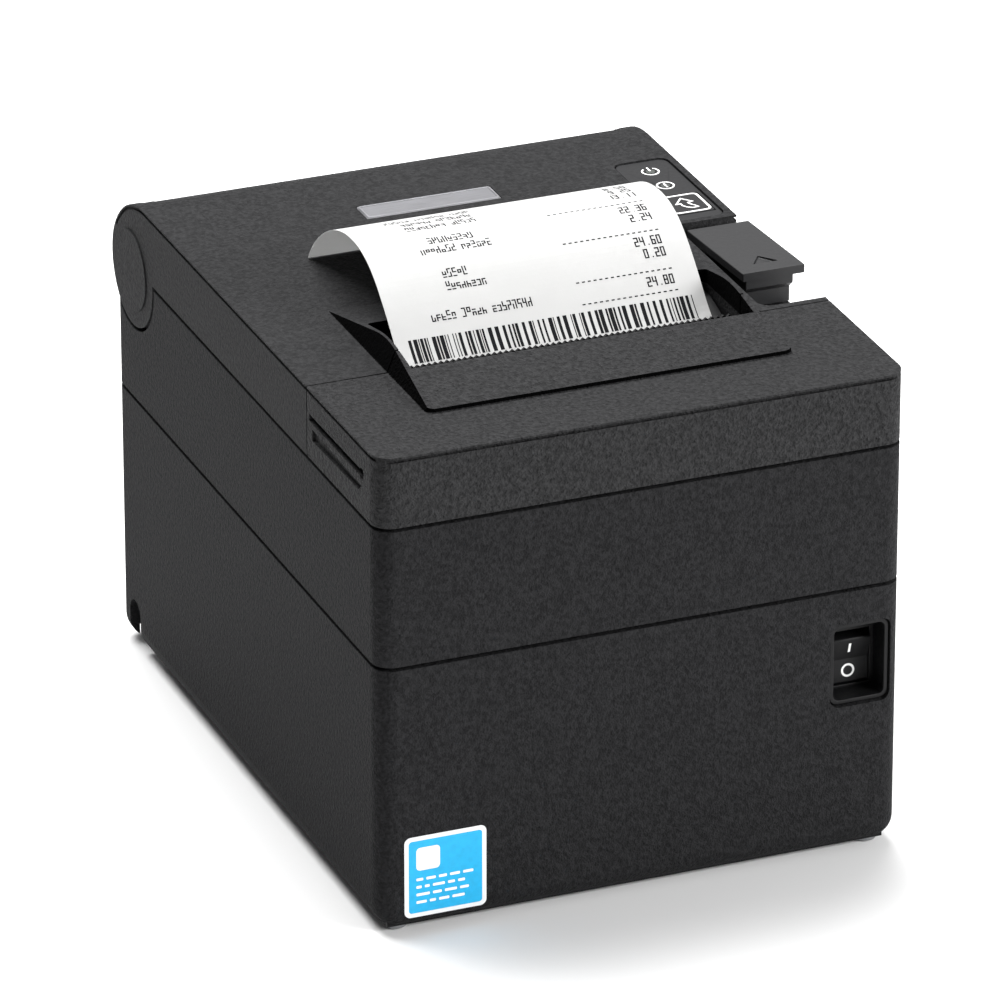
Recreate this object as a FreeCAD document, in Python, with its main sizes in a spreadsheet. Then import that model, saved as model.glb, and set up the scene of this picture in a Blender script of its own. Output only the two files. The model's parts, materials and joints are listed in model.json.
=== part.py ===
import FreeCAD, Part
import math
import os
import re

import Sketcher
from FreeCAD import Placement, Rotation, Vector

# Receipt printer with a rear-hinged lid, a lever-released paper bay and an
# automatic cutter. Millimetres. X runs to the printer's right, Y to its rear
# and Z up. The origin is on the desk, under the middle of the case.

DIMENSIONS = {
    # Case blocks, from the desk up.
    "case_width": 134.0,
    "case_depth": 181.0,
    "foot_stand": 1.0,
    "base_top": 69.85,
    "middle_top": 105.7,
    "case_top": 124.5,
    "seam_gap": 0.9,
    "wall": 2.5,
    "corner_radius": 5.0,
    "rear_foot_radius": 6.0,
    "lip_sheet": 1.2,
    "lip_rise": 1.8,
    "groove_drop": 0.5,
    "groove_width": 0.8,
    "groove_depth": 0.8,
    # Lid hinge at the rear.
    "hinge_y": 76.8,
    "hinge_z": 105.2,
    "ear_radius": 14.6,
    "ear_thickness": 2.8,
    "ear_gap": 2.7,
    "ear_disc_radius": 10.4,
    "ear_disc_rise": 0.35,
    "crown_y": 67.6,
    "crown_z": 98.5,
    "crown_radius": 26.0,
    "cheek_radius": 9.6,
    "cheek_thickness": 2.0,
    "hinge_pin_radius": 2.4,
    "running_gap": 0.05,
    "lid_rear": 89.8,
    "lid_skirt_z": 101.0,
    "lid_top_radius": 22.0,
    "lid_skin": 2.3,
    # Split between the lid and the fixed front cover.
    "split_y": -44.8,
    "split_gap": 0.5,
    # Raised hood around the paper exit.
    "hood_half_width": 46.7,
    "hood_front": -70.3,
    "hood_front_z": 125.6,
    "hood_split_z": 129.85,
    "hood_arc_y": -39.0,
    "hood_arc_z": 94.34,
    "hood_arc_radius": 36.0,
    "hood_lean": 0.4,
    "hood_rear": -6.5,
    "hood_rear_z": 124.7,
    "exit_half_width": 43.7,
    "exit_front": -53.0,
    "exit_front_z": 128.3,
    "exit_rear": -23.7,
    "exit_lip_z": 124.4,
    # Release lever and its slot in the lid.
    "lever_left": 52.3,
    "lever_right": 68.7,
    "lever_front": -26.5,
    "lever_rear": 7.7,
    "lever_front_z": 126.3,
    "lever_rear_z": 124.2,
    "lever_plate": 2.2,
    "lever_pivot_y": 3.0,
    "lever_pivot_z": 118.6,
    "lever_pin_radius": 1.5,
    "slot_left": 50.3,
    "slot_front": -42.6,
    "slot_rear": 11.2,
    "slot_floor": 114.5,
    # Button panel.
    "panel_left": 50.6,
    "panel_right": 65.2,
    "panel_front": 13.0,
    "panel_rear": 51.8,
    "panel_corner": 2.6,
    "panel_recess": 0.8,
    "panel_sheet": 0.5,
    "button_left": 52.6,
    "button_right": 64.0,
    "button_front": 16.8,
    "button_rear": 29.1,
    "button_gap": 0.25,
    "error_light_y": 35.4,
    "power_light_y": 44.9,
    "light_radius": 1.2,
    "panel_board_z": 113.0,
    # Name plate on the lid.
    "plate_half_width": 17.8,
    "plate_front": 42.6,
    "plate_rear": 50.8,
    "plate_recess": 0.4,
    # Power switch, front right.
    "switch_x": 56.2,
    "switch_z": 50.4,
    "switch_width": 15.8,
    "switch_height": 21.7,
    "rocker_z": 48.6,
    # Grip slot in the left side of the front cover.
    "grip_front": -80.5,
    "grip_rear": -46.4,
    "grip_z": 117.2,
    # Cable notch low in both sides.
    "notch_y": 79.3,
    "notch_radius": 3.8,
    "notch_top": 13.5,
    # Print mechanism.
    "frame_half_width": 51.2,
    "frame_sheet": 1.2,
    "frame_front": -69.0,
    "frame_rear": -24.0,
    "frame_floor": 16.0,
    "frame_top": 112.0,
    "platen_y": -32.75,
    "platen_z": 106.2,
    "platen_radius": 6.0,
    "platen_half_length": 41.5,
    "shaft_radius": 2.5,
    "bush_radius": 4.0,
    "gear_x": -58.0,
    "gear_width": 4.5,
    "head_face_y": -38.95,
    "paper_thickness": 0.1,
    "paper_line_y": -38.85,
    "paper_width": 79.8,
    "blade_z": 116.0,
    "blade_sheet": 0.8,
    "motor_radius": 12.5,
    # Paper store.
    "bucket_y": 22.0,
    "bucket_z": 62.0,
    "bucket_radius": 42.0,
    "bucket_wall": 1.5,
    "bucket_half_width": 41.6,
    "bucket_top": 94.0,
    "roll_radius": 36.0,
    "roll_lift": 0.3,
    "core_radius": 9.0,
    "core_wall": 2.5,
    # Electronics, bottom plate and feet.
    "bottom_plate_z": 1.4,
    "bottom_sheet": 1.5,
    "bay_front": 66.0,
    "bay_top": 46.0,
    "board_z": 8.0,
    "board_sheet": 1.6,
    "foot_radius": 6.0,
    "bracket_hole_radius": 1.7,
    "bracket_half_x": 40.0,
    "bracket_half_y": 40.0,
}

document = FreeCAD.newDocument("receipt_printer")
sheet = document.addObject("Spreadsheet::Sheet", "Dimensions")
for row, (alias, value) in enumerate(DIMENSIONS.items(), start=1):
    sheet.set("A%d" % row, alias)
    sheet.set("B%d" % row, str(value))
    sheet.setAlias("B%d" % row, alias)
document.recompute()

sub_parts = []


# Helpers ---------------------------------------------------------------------

def size(alias):
    return float(sheet.get(alias))


def expression(text):
    """Point every alias in the text at its cell in the sheet."""
    def cell(match):
        word = match.group(0)
        return "Dimensions." + word if word in DIMENSIONS else word
    return re.sub(r"[a-z][a-z_0-9]*", cell, str(text))


def bind(thing, item, text):
    thing.setExpression(item, expression(text))


def keep(thing, label):
    """Register a finished sub-part under the name of its node."""
    thing.Label = label
    sub_parts.append(thing)
    return thing


def place(thing, x="0", y="0", z="0", turn=None):
    if turn is not None:
        thing.Placement = Placement(Vector(), turn)
    for axis, text in (("x", x), ("y", y), ("z", z)):
        bind(thing, "Placement.Base." + axis, text)
    return thing


ALONG_X = Rotation(Vector(0, 1, 0), 90)
ALONG_Y = Rotation(Vector(1, 0, 0), -90)


def box(x, y, z):
    """A block between three pairs of limits, each pair two expressions."""
    block = document.addObject("Part::Box", "block")
    for item, (low, high) in (("Length", x), ("Width", y), ("Height", z)):
        bind(block, item, "(%s) - (%s)" % (high, low))
    return place(block, x[0], y[0], z[0])


def cylinder(start, length, radius, turn=None):
    round_bar = document.addObject("Part::Cylinder", "bar")
    bind(round_bar, "Radius", radius)
    bind(round_bar, "Height", length)
    return place(round_bar, *start, turn=turn)


def bar_x(x, y, z, radius):
    """A round bar along X between two limits."""
    return cylinder((x[0], y, z), "(%s) - (%s)" % (x[1], x[0]), radius, ALONG_X)


def bar_z(x, y, z, radius):
    return cylinder((x, y, z[0]), "(%s) - (%s)" % (z[1], z[0]), radius)


def fuse(*pieces):
    if len(pieces) == 1:
        return pieces[0]
    whole = document.addObject("Part::MultiFuse", "joined")
    whole.Shapes = list(pieces)
    whole.Refine = True
    return whole


def cut(base, *tools):
    result = document.addObject("Part::Cut", "cut")
    result.Base = base
    result.Tool = fuse(*tools)
    result.Refine = True
    return result


def group(*solids):
    """Identical loose pieces that share one node as separate solids."""
    loose = document.addObject("Part::Compound", "set")
    loose.Links = list(solids)
    return loose


def body_named(name):
    return document.addObject("PartDesign::Body", name)


def sketch_on(body, role, offset="0"):
    sketch = body.newObject("Sketcher::SketchObject", body.Name + "_sketch")
    plane = [item for item in body.Origin.OriginFeatures if item.Role == role][0]
    sketch.AttachmentSupport = [(plane, "")]
    sketch.MapMode = "FlatFace"
    bind(sketch, "AttachmentOffset.Base.z", offset)
    return sketch


def polygon(sketch, corners):
    """A closed outline whose corners are pinned by pairs of expressions."""
    count = len(corners)
    first = sketch.GeometryCount
    start = [Vector(20 * math.cos(2 * math.pi * i / count), 20 * math.sin(2 * math.pi * i / count), 0)
             for i in range(count)]
    for i in range(count):
        sketch.addGeometry(Part.LineSegment(start[i], start[(i + 1) % count]), False)
    for i in range(count):
        sketch.addConstraint(Sketcher.Constraint("Coincident", first + i, 2, first + (i + 1) % count, 1))
    for i, (across, up) in enumerate(corners):
        for kind, text, guess in (("DistanceX", across, start[i].x), ("DistanceY", up, start[i].y)):
            index = sketch.addConstraint(Sketcher.Constraint(kind, -1, 1, first + i, 1, guess))
            bind(sketch, "Constraints[%d]" % index, text)


def rectangle(sketch, x, y):
    polygon(sketch, [(x[0], y[0]), (x[1], y[0]), (x[1], y[1]), (x[0], y[1])])


def rounded(sketch, x, y, radius):
    """A rectangle whose corners follow an arc of the given radius."""
    centres = ((x[1] + " - ", y[1] + " - "), (x[0] + " + ", y[1] + " - "),
               (x[0] + " + ", y[0] + " + "), (x[1] + " - ", y[0] + " + "))
    corners = []
    for turn, (side, end) in enumerate(centres):
        for angle in range(90 * turn, 90 * turn + 91, 18):
            corners.append(("%s%s + %s * cos(%d deg)" % (side, radius, radius, angle),
                            "%s%s + %s * sin(%d deg)" % (end, radius, radius, angle)))
    polygon(sketch, corners)


def circle(sketch, x, y, radius):
    index = sketch.addGeometry(Part.Circle(Vector(1, 1, 0), Vector(0, 0, 1), 1), False)
    for kind, text in (("DistanceX", x), ("DistanceY", y)):
        pin = sketch.addConstraint(Sketcher.Constraint(kind, -1, 1, index, 3, 1.0))
        bind(sketch, "Constraints[%d]" % pin, text)
    ring = sketch.addConstraint(Sketcher.Constraint("Radius", index, 1.0))
    bind(sketch, "Constraints[%d]" % ring, radius)


def pad(body, sketch, length, both_ways=False, reverse=False):
    feature = body.newObject("PartDesign::Pad", body.Name + "_pad")
    feature.Profile = sketch
    bind(feature, "Length", length)
    feature.Midplane = both_ways
    feature.Reversed = reverse
    document.recompute()
    return feature


def pocket(body, sketch, length, both_ways=False, reverse=False):
    before = body.Shape.Volume
    feature = body.newObject("PartDesign::Pocket", body.Name + "_pocket")
    feature.Profile = sketch
    bind(feature, "Length", length)
    feature.Midplane = both_ways
    feature.Reversed = reverse
    document.recompute()
    if not body.Shape.Volume < before - 1e-3:
        raise ValueError("%s: a pocket took nothing away" % body.Name)
    return feature


def edges_where(body, test):
    """Names of the edges of the body's last feature that pass the test."""
    shape = body.Tip.Shape
    return ["Edge%d" % number for number, edge in enumerate(shape.Edges, start=1) if test(edge)]


def round_edges(body, radius, test, kind="Fillet"):
    base = body.Tip
    names = edges_where(body, test)
    if not names:
        raise ValueError("%s: no edge to round" % body.Name)
    feature = body.newObject("PartDesign::" + kind, body.Name + "_edges")
    feature.Base = (base, names)
    bind(feature, "Radius" if kind == "Fillet" else "Size", radius)
    document.recompute()
    return feature


def mirror(body, features):
    feature = body.newObject("PartDesign::Mirrored", body.Name + "_mirror")
    feature.Originals = features
    plane = [item for item in body.Origin.OriginFeatures if item.Role == "YZ_Plane"][0]
    feature.MirrorPlane = (plane, [""])
    body.Tip = feature
    document.recompute()
    return feature


def near(a, b, slack=0.02):
    return abs(a - b) < slack


def edge_at(edge, x=None, y=None, z=None):
    """True when the whole edge lies at the given coordinates."""
    bounds = edge.BoundBox
    for want, low, high in ((x, bounds.XMin, bounds.XMax), (y, bounds.YMin, bounds.YMax),
                            (z, bounds.ZMin, bounds.ZMax)):
        if want is not None and not (near(low, want) and near(high, want)):
            return False
    return True


def upright(edge):
    bounds = edge.BoundBox
    return near(bounds.XLength, 0) and near(bounds.YLength, 0)


def outside(inset="0"):
    """Limits of the case's footprint, drawn in by an inset."""
    return (("-(case_width / 2 - %s)" % inset, "case_width / 2 - %s" % inset),
            ("-(case_depth / 2 - %s)" % inset, "case_depth / 2 - %s" % inset))


def case_corner(edge, y_sign=None):
    """An upright edge at one of the case's outer corners."""
    bounds = edge.BoundBox
    at_side = near(abs(bounds.XMin), size("case_width") / 2)
    at_end = near(abs(bounds.YMin), size("case_depth") / 2)
    right_end = y_sign is None or bounds.YMin * y_sign > 0
    return upright(edge) and at_side and at_end and right_end


# Case ------------------------------------------------------------------------

def make_base_case():
    body = body_named("base_case_body")
    sketch = sketch_on(body, "XY_Plane", "foot_stand")
    rectangle(sketch, *outside())
    pad(body, sketch, "base_top - foot_stand")
    round_edges(body, "corner_radius", case_corner)
    low = size("foot_stand")
    rear = size("case_depth") / 2
    round_edges(body, "rear_foot_radius",
                lambda edge: edge_at(edge, y=rear, z=low) and edge.BoundBox.XLength > 100)

    sketch = sketch_on(body, "XY_Plane")
    rectangle(sketch, *outside("wall"))
    pocket(body, sketch, "base_top + 1", reverse=True)

    # Tongue that rises inside the middle case.
    sketch = sketch_on(body, "XY_Plane", "base_top - 4")
    rectangle(sketch, *outside("wall"))
    rectangle(sketch, *outside("(wall + lip_sheet)"))
    pad(body, sketch, "4 + seam_gap + lip_rise")

    # Screw bosses above the bottom plate.
    sketch = sketch_on(body, "XY_Plane", "bottom_plate_z + bottom_sheet")
    for x in ("-60.8", "60.8"):
        for y in ("-84.2", "58"):
            circle(sketch, x, y, "4")
    pad(body, sketch, "13")
    sketch = sketch_on(body, "XY_Plane", "bottom_plate_z + bottom_sheet")
    for x in ("-60.8", "60.8"):
        for y in ("-84.2", "58"):
            circle(sketch, x, y, "1.3")
    pocket(body, sketch, "10", reverse=True)

    # Opening for the power switch.
    sketch = sketch_on(body, "XZ_Plane", "case_depth / 2 + 1")
    rounded(sketch, ("switch_x - switch_width / 2", "switch_x + switch_width / 2"),
            ("switch_z - switch_height / 2", "switch_z + switch_height / 2"), "2.5")
    pocket(body, sketch, "wall + 2")

    # Cable bay opening in the rear wall, down to the desk.
    sketch = sketch_on(body, "XZ_Plane", "-(case_depth / 2 - wall - 1)")
    rectangle(sketch, ("-46", "46"), ("0", "32"))
    pocket(body, sketch, "wall + 3")

    # Cable notch in both sides, with a round top.
    sketch = sketch_on(body, "YZ_Plane")
    circle(sketch, "notch_y", "notch_top - notch_radius", "notch_radius")
    pocket(body, sketch, "case_width + 10", both_ways=True)
    sketch = sketch_on(body, "YZ_Plane")
    rectangle(sketch, ("notch_y - notch_radius", "notch_y + notch_radius"),
              ("0", "notch_top - notch_radius"))
    pocket(body, sketch, "case_width + 10", both_ways=True)
    return keep(body, "base_case")


def make_middle_case():
    body = body_named("middle_case_body")
    sketch = sketch_on(body, "XY_Plane", "base_top + seam_gap")
    rectangle(sketch, *outside())
    pad(body, sketch, "middle_top - base_top - seam_gap")
    round_edges(body, "corner_radius", case_corner)

    sketch = sketch_on(body, "XY_Plane")
    rectangle(sketch, *outside("wall"))
    pocket(body, sketch, "middle_top + 1", reverse=True)

    # Tongue along the front and sides, inside the front cover and the lid.
    for inset, low, high in (("wall", "middle_top - 4", "middle_top"),
                             ("(ear_thickness + 0.1)", "middle_top - 4", "middle_top + seam_gap + lip_rise")):
        sketch = sketch_on(body, "XY_Plane", low)
        outer_x = "(case_width / 2 - %s)" % inset
        inner_x = "(case_width / 2 - ear_thickness - lip_sheet)"
        outer_y = "-(case_depth / 2 - %s)" % inset
        inner_y = "-(case_depth / 2 - ear_thickness - lip_sheet)"
        polygon(sketch, [("-" + outer_x, "57"), ("-" + outer_x, outer_y), (outer_x, outer_y),
                         (outer_x, "57"), (inner_x, "57"), (inner_x, inner_y), ("-" + inner_x, inner_y),
                         ("-" + inner_x, "57")])
        pad(body, sketch, "(%s) - (%s)" % (high, low))
    # Ledges that carry the paper store.
    sketch = sketch_on(body, "XY_Plane", "bucket_top - 3.5")
    for side in ("-", ""):
        rectangle(sketch, (side + "(case_width / 2 - wall)", side + "(case_width / 2 - wall - 2)"),
                  ("-15", "50"))
    pad(body, sketch, "2")

    # Hinge cheeks: an upright plate and a round eye inside each side.
    cheek = "case_width / 2 - ear_thickness - 0.4 - cheek_thickness"
    sketch = sketch_on(body, "YZ_Plane", cheek)
    polygon(sketch, [("59", "84"), ("case_depth / 2 - 1", "84"), ("case_depth / 2 - 1", "95.5"),
                     ("hinge_y + cheek_radius", "95.5"), ("hinge_y + cheek_radius", "hinge_z"),
                     ("hinge_y - cheek_radius", "hinge_z"), ("59", "hinge_z - 4")])
    plate = pad(body, sketch, "cheek_thickness")
    sketch = sketch_on(body, "YZ_Plane", cheek)
    circle(sketch, "hinge_y", "hinge_z", "cheek_radius")
    eye = pad(body, sketch, "cheek_thickness")
    # Bridge between the cheek and the side wall, under the ear's recess.
    sketch = sketch_on(body, "YZ_Plane", cheek)
    rectangle(sketch, ("59", "case_depth / 2 - 1"), ("80", "84.5"))
    bridge = pad(body, sketch, "cheek_thickness + 2")
    sketch = sketch_on(body, "YZ_Plane", cheek + " - 1")
    circle(sketch, "hinge_y", "hinge_z", "hinge_pin_radius")
    bore = pocket(body, sketch, "cheek_thickness + 2", reverse=True)
    # Round recess that the lid's ear turns in.
    sketch = sketch_on(body, "YZ_Plane", "case_width / 2 - ear_thickness - 0.4")
    circle(sketch, "hinge_y", "hinge_z", "ear_radius + seam_gap")
    recess = pocket(body, sketch, "ear_thickness + 4", reverse=True)
    mirror(body, [plate, eye, bridge, bore, recess])

    # The rear wall stops below the lid's skirt.
    sketch = sketch_on(body, "XY_Plane", "95.5")
    rectangle(sketch, ("-(case_width / 2 - ear_thickness - 0.4)", "case_width / 2 - ear_thickness - 0.4"),
              ("case_depth / 2 - wall - 0.8", "case_depth / 2 + 2"))
    pocket(body, sketch, "20", reverse=True)
    return keep(body, "middle_case")


def lean_hood_sides(body):
    """Trim both sides of the hood so that they lean in as they rise."""
    rise = 10
    sketch = sketch_on(body, "XZ_Plane", "case_depth / 2 + 5")
    for side in ("-", ""):
        polygon(sketch, [(side + "(hood_half_width + 0.01)", "case_top"), (side + "60", "case_top"),
                         (side + "60", "case_top + %d" % rise),
                         (side + "(hood_half_width + 0.01 - hood_lean * %d)" % rise, "case_top + %d" % rise)])
    pocket(body, sketch, "case_depth + 10")


def make_front_cover():
    body = body_named("front_cover_body")
    back = "split_y - split_gap / 2"
    low = "middle_top + seam_gap"
    sketch = sketch_on(body, "XY_Plane", low)
    rectangle(sketch, outside()[0], ("-case_depth / 2", back))
    pad(body, sketch, "case_top - middle_top - seam_gap")
    round_edges(body, "corner_radius", case_corner)

    # Hood: a wedge that rises to the rear, its front edge a small step.
    sketch = sketch_on(body, "YZ_Plane")
    polygon(sketch, [("hood_front", "case_top - 1"), ("hood_front", "hood_front_z"),
                     (back, "hood_split_z"), (back, "case_top - 1")])
    pad(body, sketch, "2 * hood_half_width", both_ways=True)
    hood_front = size("hood_front")
    round_edges(body, "2.5", lambda edge: upright(edge) and edge_at(edge, y=hood_front))
    lean_hood_sides(body)

    # Hollow from below, open to the rear.
    sketch = sketch_on(body, "XY_Plane", "middle_top")
    rectangle(sketch, ("-(case_width / 2 - wall)", "case_width / 2 - wall"),
              ("-(case_depth / 2 - wall)", "0"))
    pocket(body, sketch, "case_top - middle_top - 2.2", reverse=True)

    # Paper exit: a sloping front wall down to the lip beside the tear bar.
    sketch = sketch_on(body, "YZ_Plane")
    polygon(sketch, [("exit_front", "exit_front_z + 0.002"), (back, "exit_lip_z"), ("-40", "exit_lip_z"),
                     ("-40", "135"), ("exit_front", "135")])
    pocket(body, sketch, "2 * exit_half_width", both_ways=True)

    # Grip in the left side: a slit with a round front end above a shallow wedge-shaped dish.
    left_face = "-(case_width / 2 + 1)"
    sketch = sketch_on(body, "YZ_Plane", left_face)
    rectangle(sketch, ("grip_front", "grip_rear"), ("grip_z - 0.9", "grip_z + 0.9"))
    pocket(body, sketch, "5", reverse=True)
    sketch = sketch_on(body, "YZ_Plane", left_face)
    circle(sketch, "grip_front", "grip_z", "1.4")
    pocket(body, sketch, "5", reverse=True)
    sketch = sketch_on(body, "YZ_Plane", left_face)
    polygon(sketch, [("grip_rear - 2", "grip_z - 2.4"), ("grip_rear - 2", "grip_z - 5.4"),
                     ("grip_front + 2", "grip_z - 4.8"), ("grip_front", "grip_z - 3.2")])
    pocket(body, sketch, "1.8", reverse=True)

    # Narrow shadow groove below the top edge, at the front and both sides.
    sketch = sketch_on(body, "XY_Plane", "case_top - groove_drop - groove_width")
    far_x, near_x = "(case_width / 2 + 1)", "(case_width / 2 - groove_depth)"
    far_y, near_y = "-(case_depth / 2 + 1)", "-(case_depth / 2 - groove_depth)"
    polygon(sketch, [("-" + far_x, back), ("-" + far_x, far_y), (far_x, far_y), (far_x, back),
                     (near_x, back), (near_x, near_y), ("-" + near_x, near_y), ("-" + near_x, back)])
    pocket(body, sketch, "groove_width", reverse=True)
    return keep(body, "front_cover")


def make_lid_shell():
    body = body_named("lid_shell_body")
    front = "split_y + split_gap / 2"
    low = "middle_top + seam_gap"
    # Flat part across the whole width.
    sketch = sketch_on(body, "YZ_Plane")
    rectangle(sketch, (front, "62"), (low, "case_top"))
    pad(body, sketch, "case_width", both_ways=True)
    top = size("case_top")
    # Rear skin between the ears, rolling down behind the hinge.
    sketch = sketch_on(body, "YZ_Plane")
    rectangle(sketch, ("61", "lid_rear"), ("lid_skirt_z", "case_top"))
    pad(body, sketch, "case_width - 2 * (ear_thickness + ear_gap)", both_ways=True)
    lid_rear = size("lid_rear")
    round_edges(body, "lid_top_radius", lambda edge: edge_at(edge, y=lid_rear, z=top))
    # Ears: a round end concentric with the hinge, flush with the sides.
    ear_inner = "case_width / 2 - ear_thickness"
    sketch = sketch_on(body, "YZ_Plane", ear_inner)
    crown = [("crown_y + crown_radius * cos(%d deg)" % angle, "crown_z + crown_radius * sin(%d deg)" % angle)
             for angle in range(90, 35, -6)]
    polygon(sketch, [("61", "hinge_z + 1.5"), ("61", "case_top")] + crown +
            [("hinge_y + ear_radius - 0.1", "hinge_z + 1.5")])
    ear = pad(body, sketch, "ear_thickness")
    # Roof that closes the gap beside the ear in front of the hinge.
    sketch = sketch_on(body, "YZ_Plane", ear_inner + " - ear_gap - 0.1")
    polygon(sketch, [("61", "case_top - lid_skin"), ("61", "case_top")] + crown[:4] +
            [("crown_y + crown_radius * cos(72 deg)", "case_top - lid_skin - 1.2")])
    roof = pad(body, sketch, "ear_gap + 0.2")
    sketch = sketch_on(body, "YZ_Plane", ear_inner)
    circle(sketch, "hinge_y", "hinge_z", "ear_radius")
    ear_round = pad(body, sketch, "ear_thickness")
    # Raised disc around the hinge on the ear's outer face.
    sketch = sketch_on(body, "YZ_Plane", "case_width / 2 - 0.5")
    circle(sketch, "hinge_y", "hinge_z", "ear_disc_radius")
    disc = pad(body, sketch, "0.5 + ear_disc_rise")
    # Shadow groove that runs on along the ear's curved top edge.
    sketch = sketch_on(body, "YZ_Plane", "case_width / 2 - groove_depth")
    angles = list(range(90, 35, -6))
    low_drop = "groove_drop - groove_width"
    band = [("crown_y + (crown_radius - %s) * cos(%d deg)" % (drop, angle),
             "crown_z + (crown_radius - %s) * sin(%d deg)" % (drop, angle))
            for drop, order in (("groove_drop", angles), (low_drop, angles[::-1])) for angle in order]
    polygon(sketch, [("61", "case_top - groove_drop")] + band + [("61", "case_top - " + low_drop)])
    ear_groove = pocket(body, sketch, "5", reverse=True)
    mirror(body, [ear, roof, ear_round, disc, ear_groove])

    # Hollow from below.
    sketch = sketch_on(body, "XY_Plane", "middle_top")
    rectangle(sketch, ("-(case_width / 2 - ear_thickness)", "case_width / 2 - ear_thickness"),
              (front + " - 1", "60"))
    pocket(body, sketch, "case_top - middle_top - lid_skin", reverse=True)
    sketch = sketch_on(body, "YZ_Plane")
    inner_top = "case_top - lid_skin"
    inner_rear = "lid_rear - lid_skin"
    polygon(sketch, [("57", "lid_skirt_z - 1"), (inner_rear, "lid_skirt_z - 1"), (inner_rear, "hinge_z"),
                     (inner_rear + " - 2.5", "hinge_z + 7"), (inner_rear + " - 9", inner_top + " - 4"),
                     (inner_rear + " - 18", inner_top), ("57", inner_top)])
    pocket(body, sketch, "case_width - 2 * (ear_thickness)", both_ways=True)

    # Inner bearing ribs for the hinge pins, and blind holes in the ears.
    rib_outer = "case_width / 2 - ear_thickness - cheek_thickness - 0.8"
    sketch = sketch_on(body, "YZ_Plane", rib_outer)
    polygon(sketch, [("hinge_y - 6", "hinge_z"), ("hinge_y + 5", "hinge_z"), ("hinge_y + 5", "case_top - 9"),
                     ("hinge_y + 1", "case_top - 3.8"), ("hinge_y - 6", "case_top - 3.8")])
    rib = pad(body, sketch, "2.2", reverse=True)
    sketch = sketch_on(body, "YZ_Plane", rib_outer)
    circle(sketch, "hinge_y", "hinge_z", "6")
    rib_round = pad(body, sketch, "2.2", reverse=True)
    sketch = sketch_on(body, "YZ_Plane", "case_width / 2 - 1.2")
    circle(sketch, "hinge_y", "hinge_z", "hinge_pin_radius + running_gap")
    bore = pocket(body, sketch, "12")
    mirror(body, [rib, rib_round, bore])

    # Hood around the paper exit, rear half.
    sketch = sketch_on(body, "YZ_Plane")
    crest = [("hood_arc_y + hood_arc_radius * cos(%d deg)" % angle,
              "hood_arc_z + hood_arc_radius * sin(%d deg)" % angle) for angle in range(98, 78, -3)]
    polygon(sketch, [(front, "case_top - 1"), (front, "hood_split_z + 0.08")] + crest +
            [("hood_rear", "hood_rear_z"), ("hood_rear", "case_top - 1")])
    pad(body, sketch, "2 * hood_half_width", both_ways=True)
    lean_hood_sides(body)
    sketch = sketch_on(body, "XY_Plane", "case_top - 12")
    rounded(sketch, ("-exit_half_width", "exit_half_width"), ("-60", "exit_rear"), "1.2")
    pocket(body, sketch, "30", reverse=True)

    # Tub for the release lever, open to the right side.
    sketch = sketch_on(body, "XY_Plane", "slot_floor - 1.8")
    rectangle(sketch, ("slot_left - 1.8", "case_width / 2 - 1"), (front + " + 1", "slot_rear + 1.8"))
    pad(body, sketch, "case_top - slot_floor + 1.8 - 1")
    sketch = sketch_on(body, "XY_Plane", "slot_floor")
    rectangle(sketch, ("slot_left", "case_width / 2 + 5"), ("slot_front", "slot_rear"))
    pocket(body, sketch, "case_top", reverse=True)
    slot_left = size("slot_left")
    slot_front = size("slot_front")
    round_edges(body, "3.5", lambda edge: upright(edge) and edge_at(edge, x=slot_left, y=slot_front))
    # Lug that carries the outer end of the lever's pin.
    sketch = sketch_on(body, "YZ_Plane", "63")
    rectangle(sketch, ("lever_pivot_y - 2.6", "lever_pivot_y + 2.6"),
              ("slot_floor - 1", "lever_pivot_z + 2.2"))
    pad(body, sketch, "1.6")
    sketch = sketch_on(body, "YZ_Plane", "64")
    circle(sketch, "lever_pivot_y", "lever_pivot_z", "lever_pin_radius")
    pocket(body, sketch, "16")
    # Posts that hold the board under the button panel.
    sketch = sketch_on(body, "XY_Plane", "panel_board_z + 1.6")
    circle(sketch, "53.5", "40", "1.8")
    circle(sketch, "62", "49", "1.8")
    pad(body, sketch, "case_top - 1.5 - panel_board_z - 1.6")

    # Recess of the button panel, with the button's and the lamps' holes.
    sketch = sketch_on(body, "XY_Plane", "case_top - panel_recess")
    rounded(sketch, ("panel_left", "panel_right"), ("panel_front", "panel_rear"), "panel_corner")
    pocket(body, sketch, "5", reverse=True)
    sketch = sketch_on(body, "XY_Plane", "case_top - 5")
    rectangle(sketch, ("button_left", "button_right"), ("button_front", "button_rear"))
    circle(sketch, "(button_left + button_right) / 2", "error_light_y", "light_radius + 0.1")
    circle(sketch, "(button_left + button_right) / 2", "power_light_y", "light_radius + 0.1")
    pocket(body, sketch, "10", reverse=True)
    # Recess of the name plate.
    sketch = sketch_on(body, "XY_Plane", "case_top - plate_recess")
    rectangle(sketch, ("-plate_half_width", "plate_half_width"), ("plate_front", "plate_rear"))
    pocket(body, sketch, "5", reverse=True)

    # Shadow groove below the top edge on both sides.
    sketch = sketch_on(body, "XZ_Plane", "-61.5")
    for side in ("-", ""):
        rectangle(sketch, (side + "(case_width / 2 - groove_depth)", side + "(case_width / 2 + 1)"),
                  ("case_top - groove_drop - groove_width", "case_top - groove_drop"))
    pocket(body, sketch, "120", reverse=True)
    return keep(body, "lid_shell")


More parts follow.
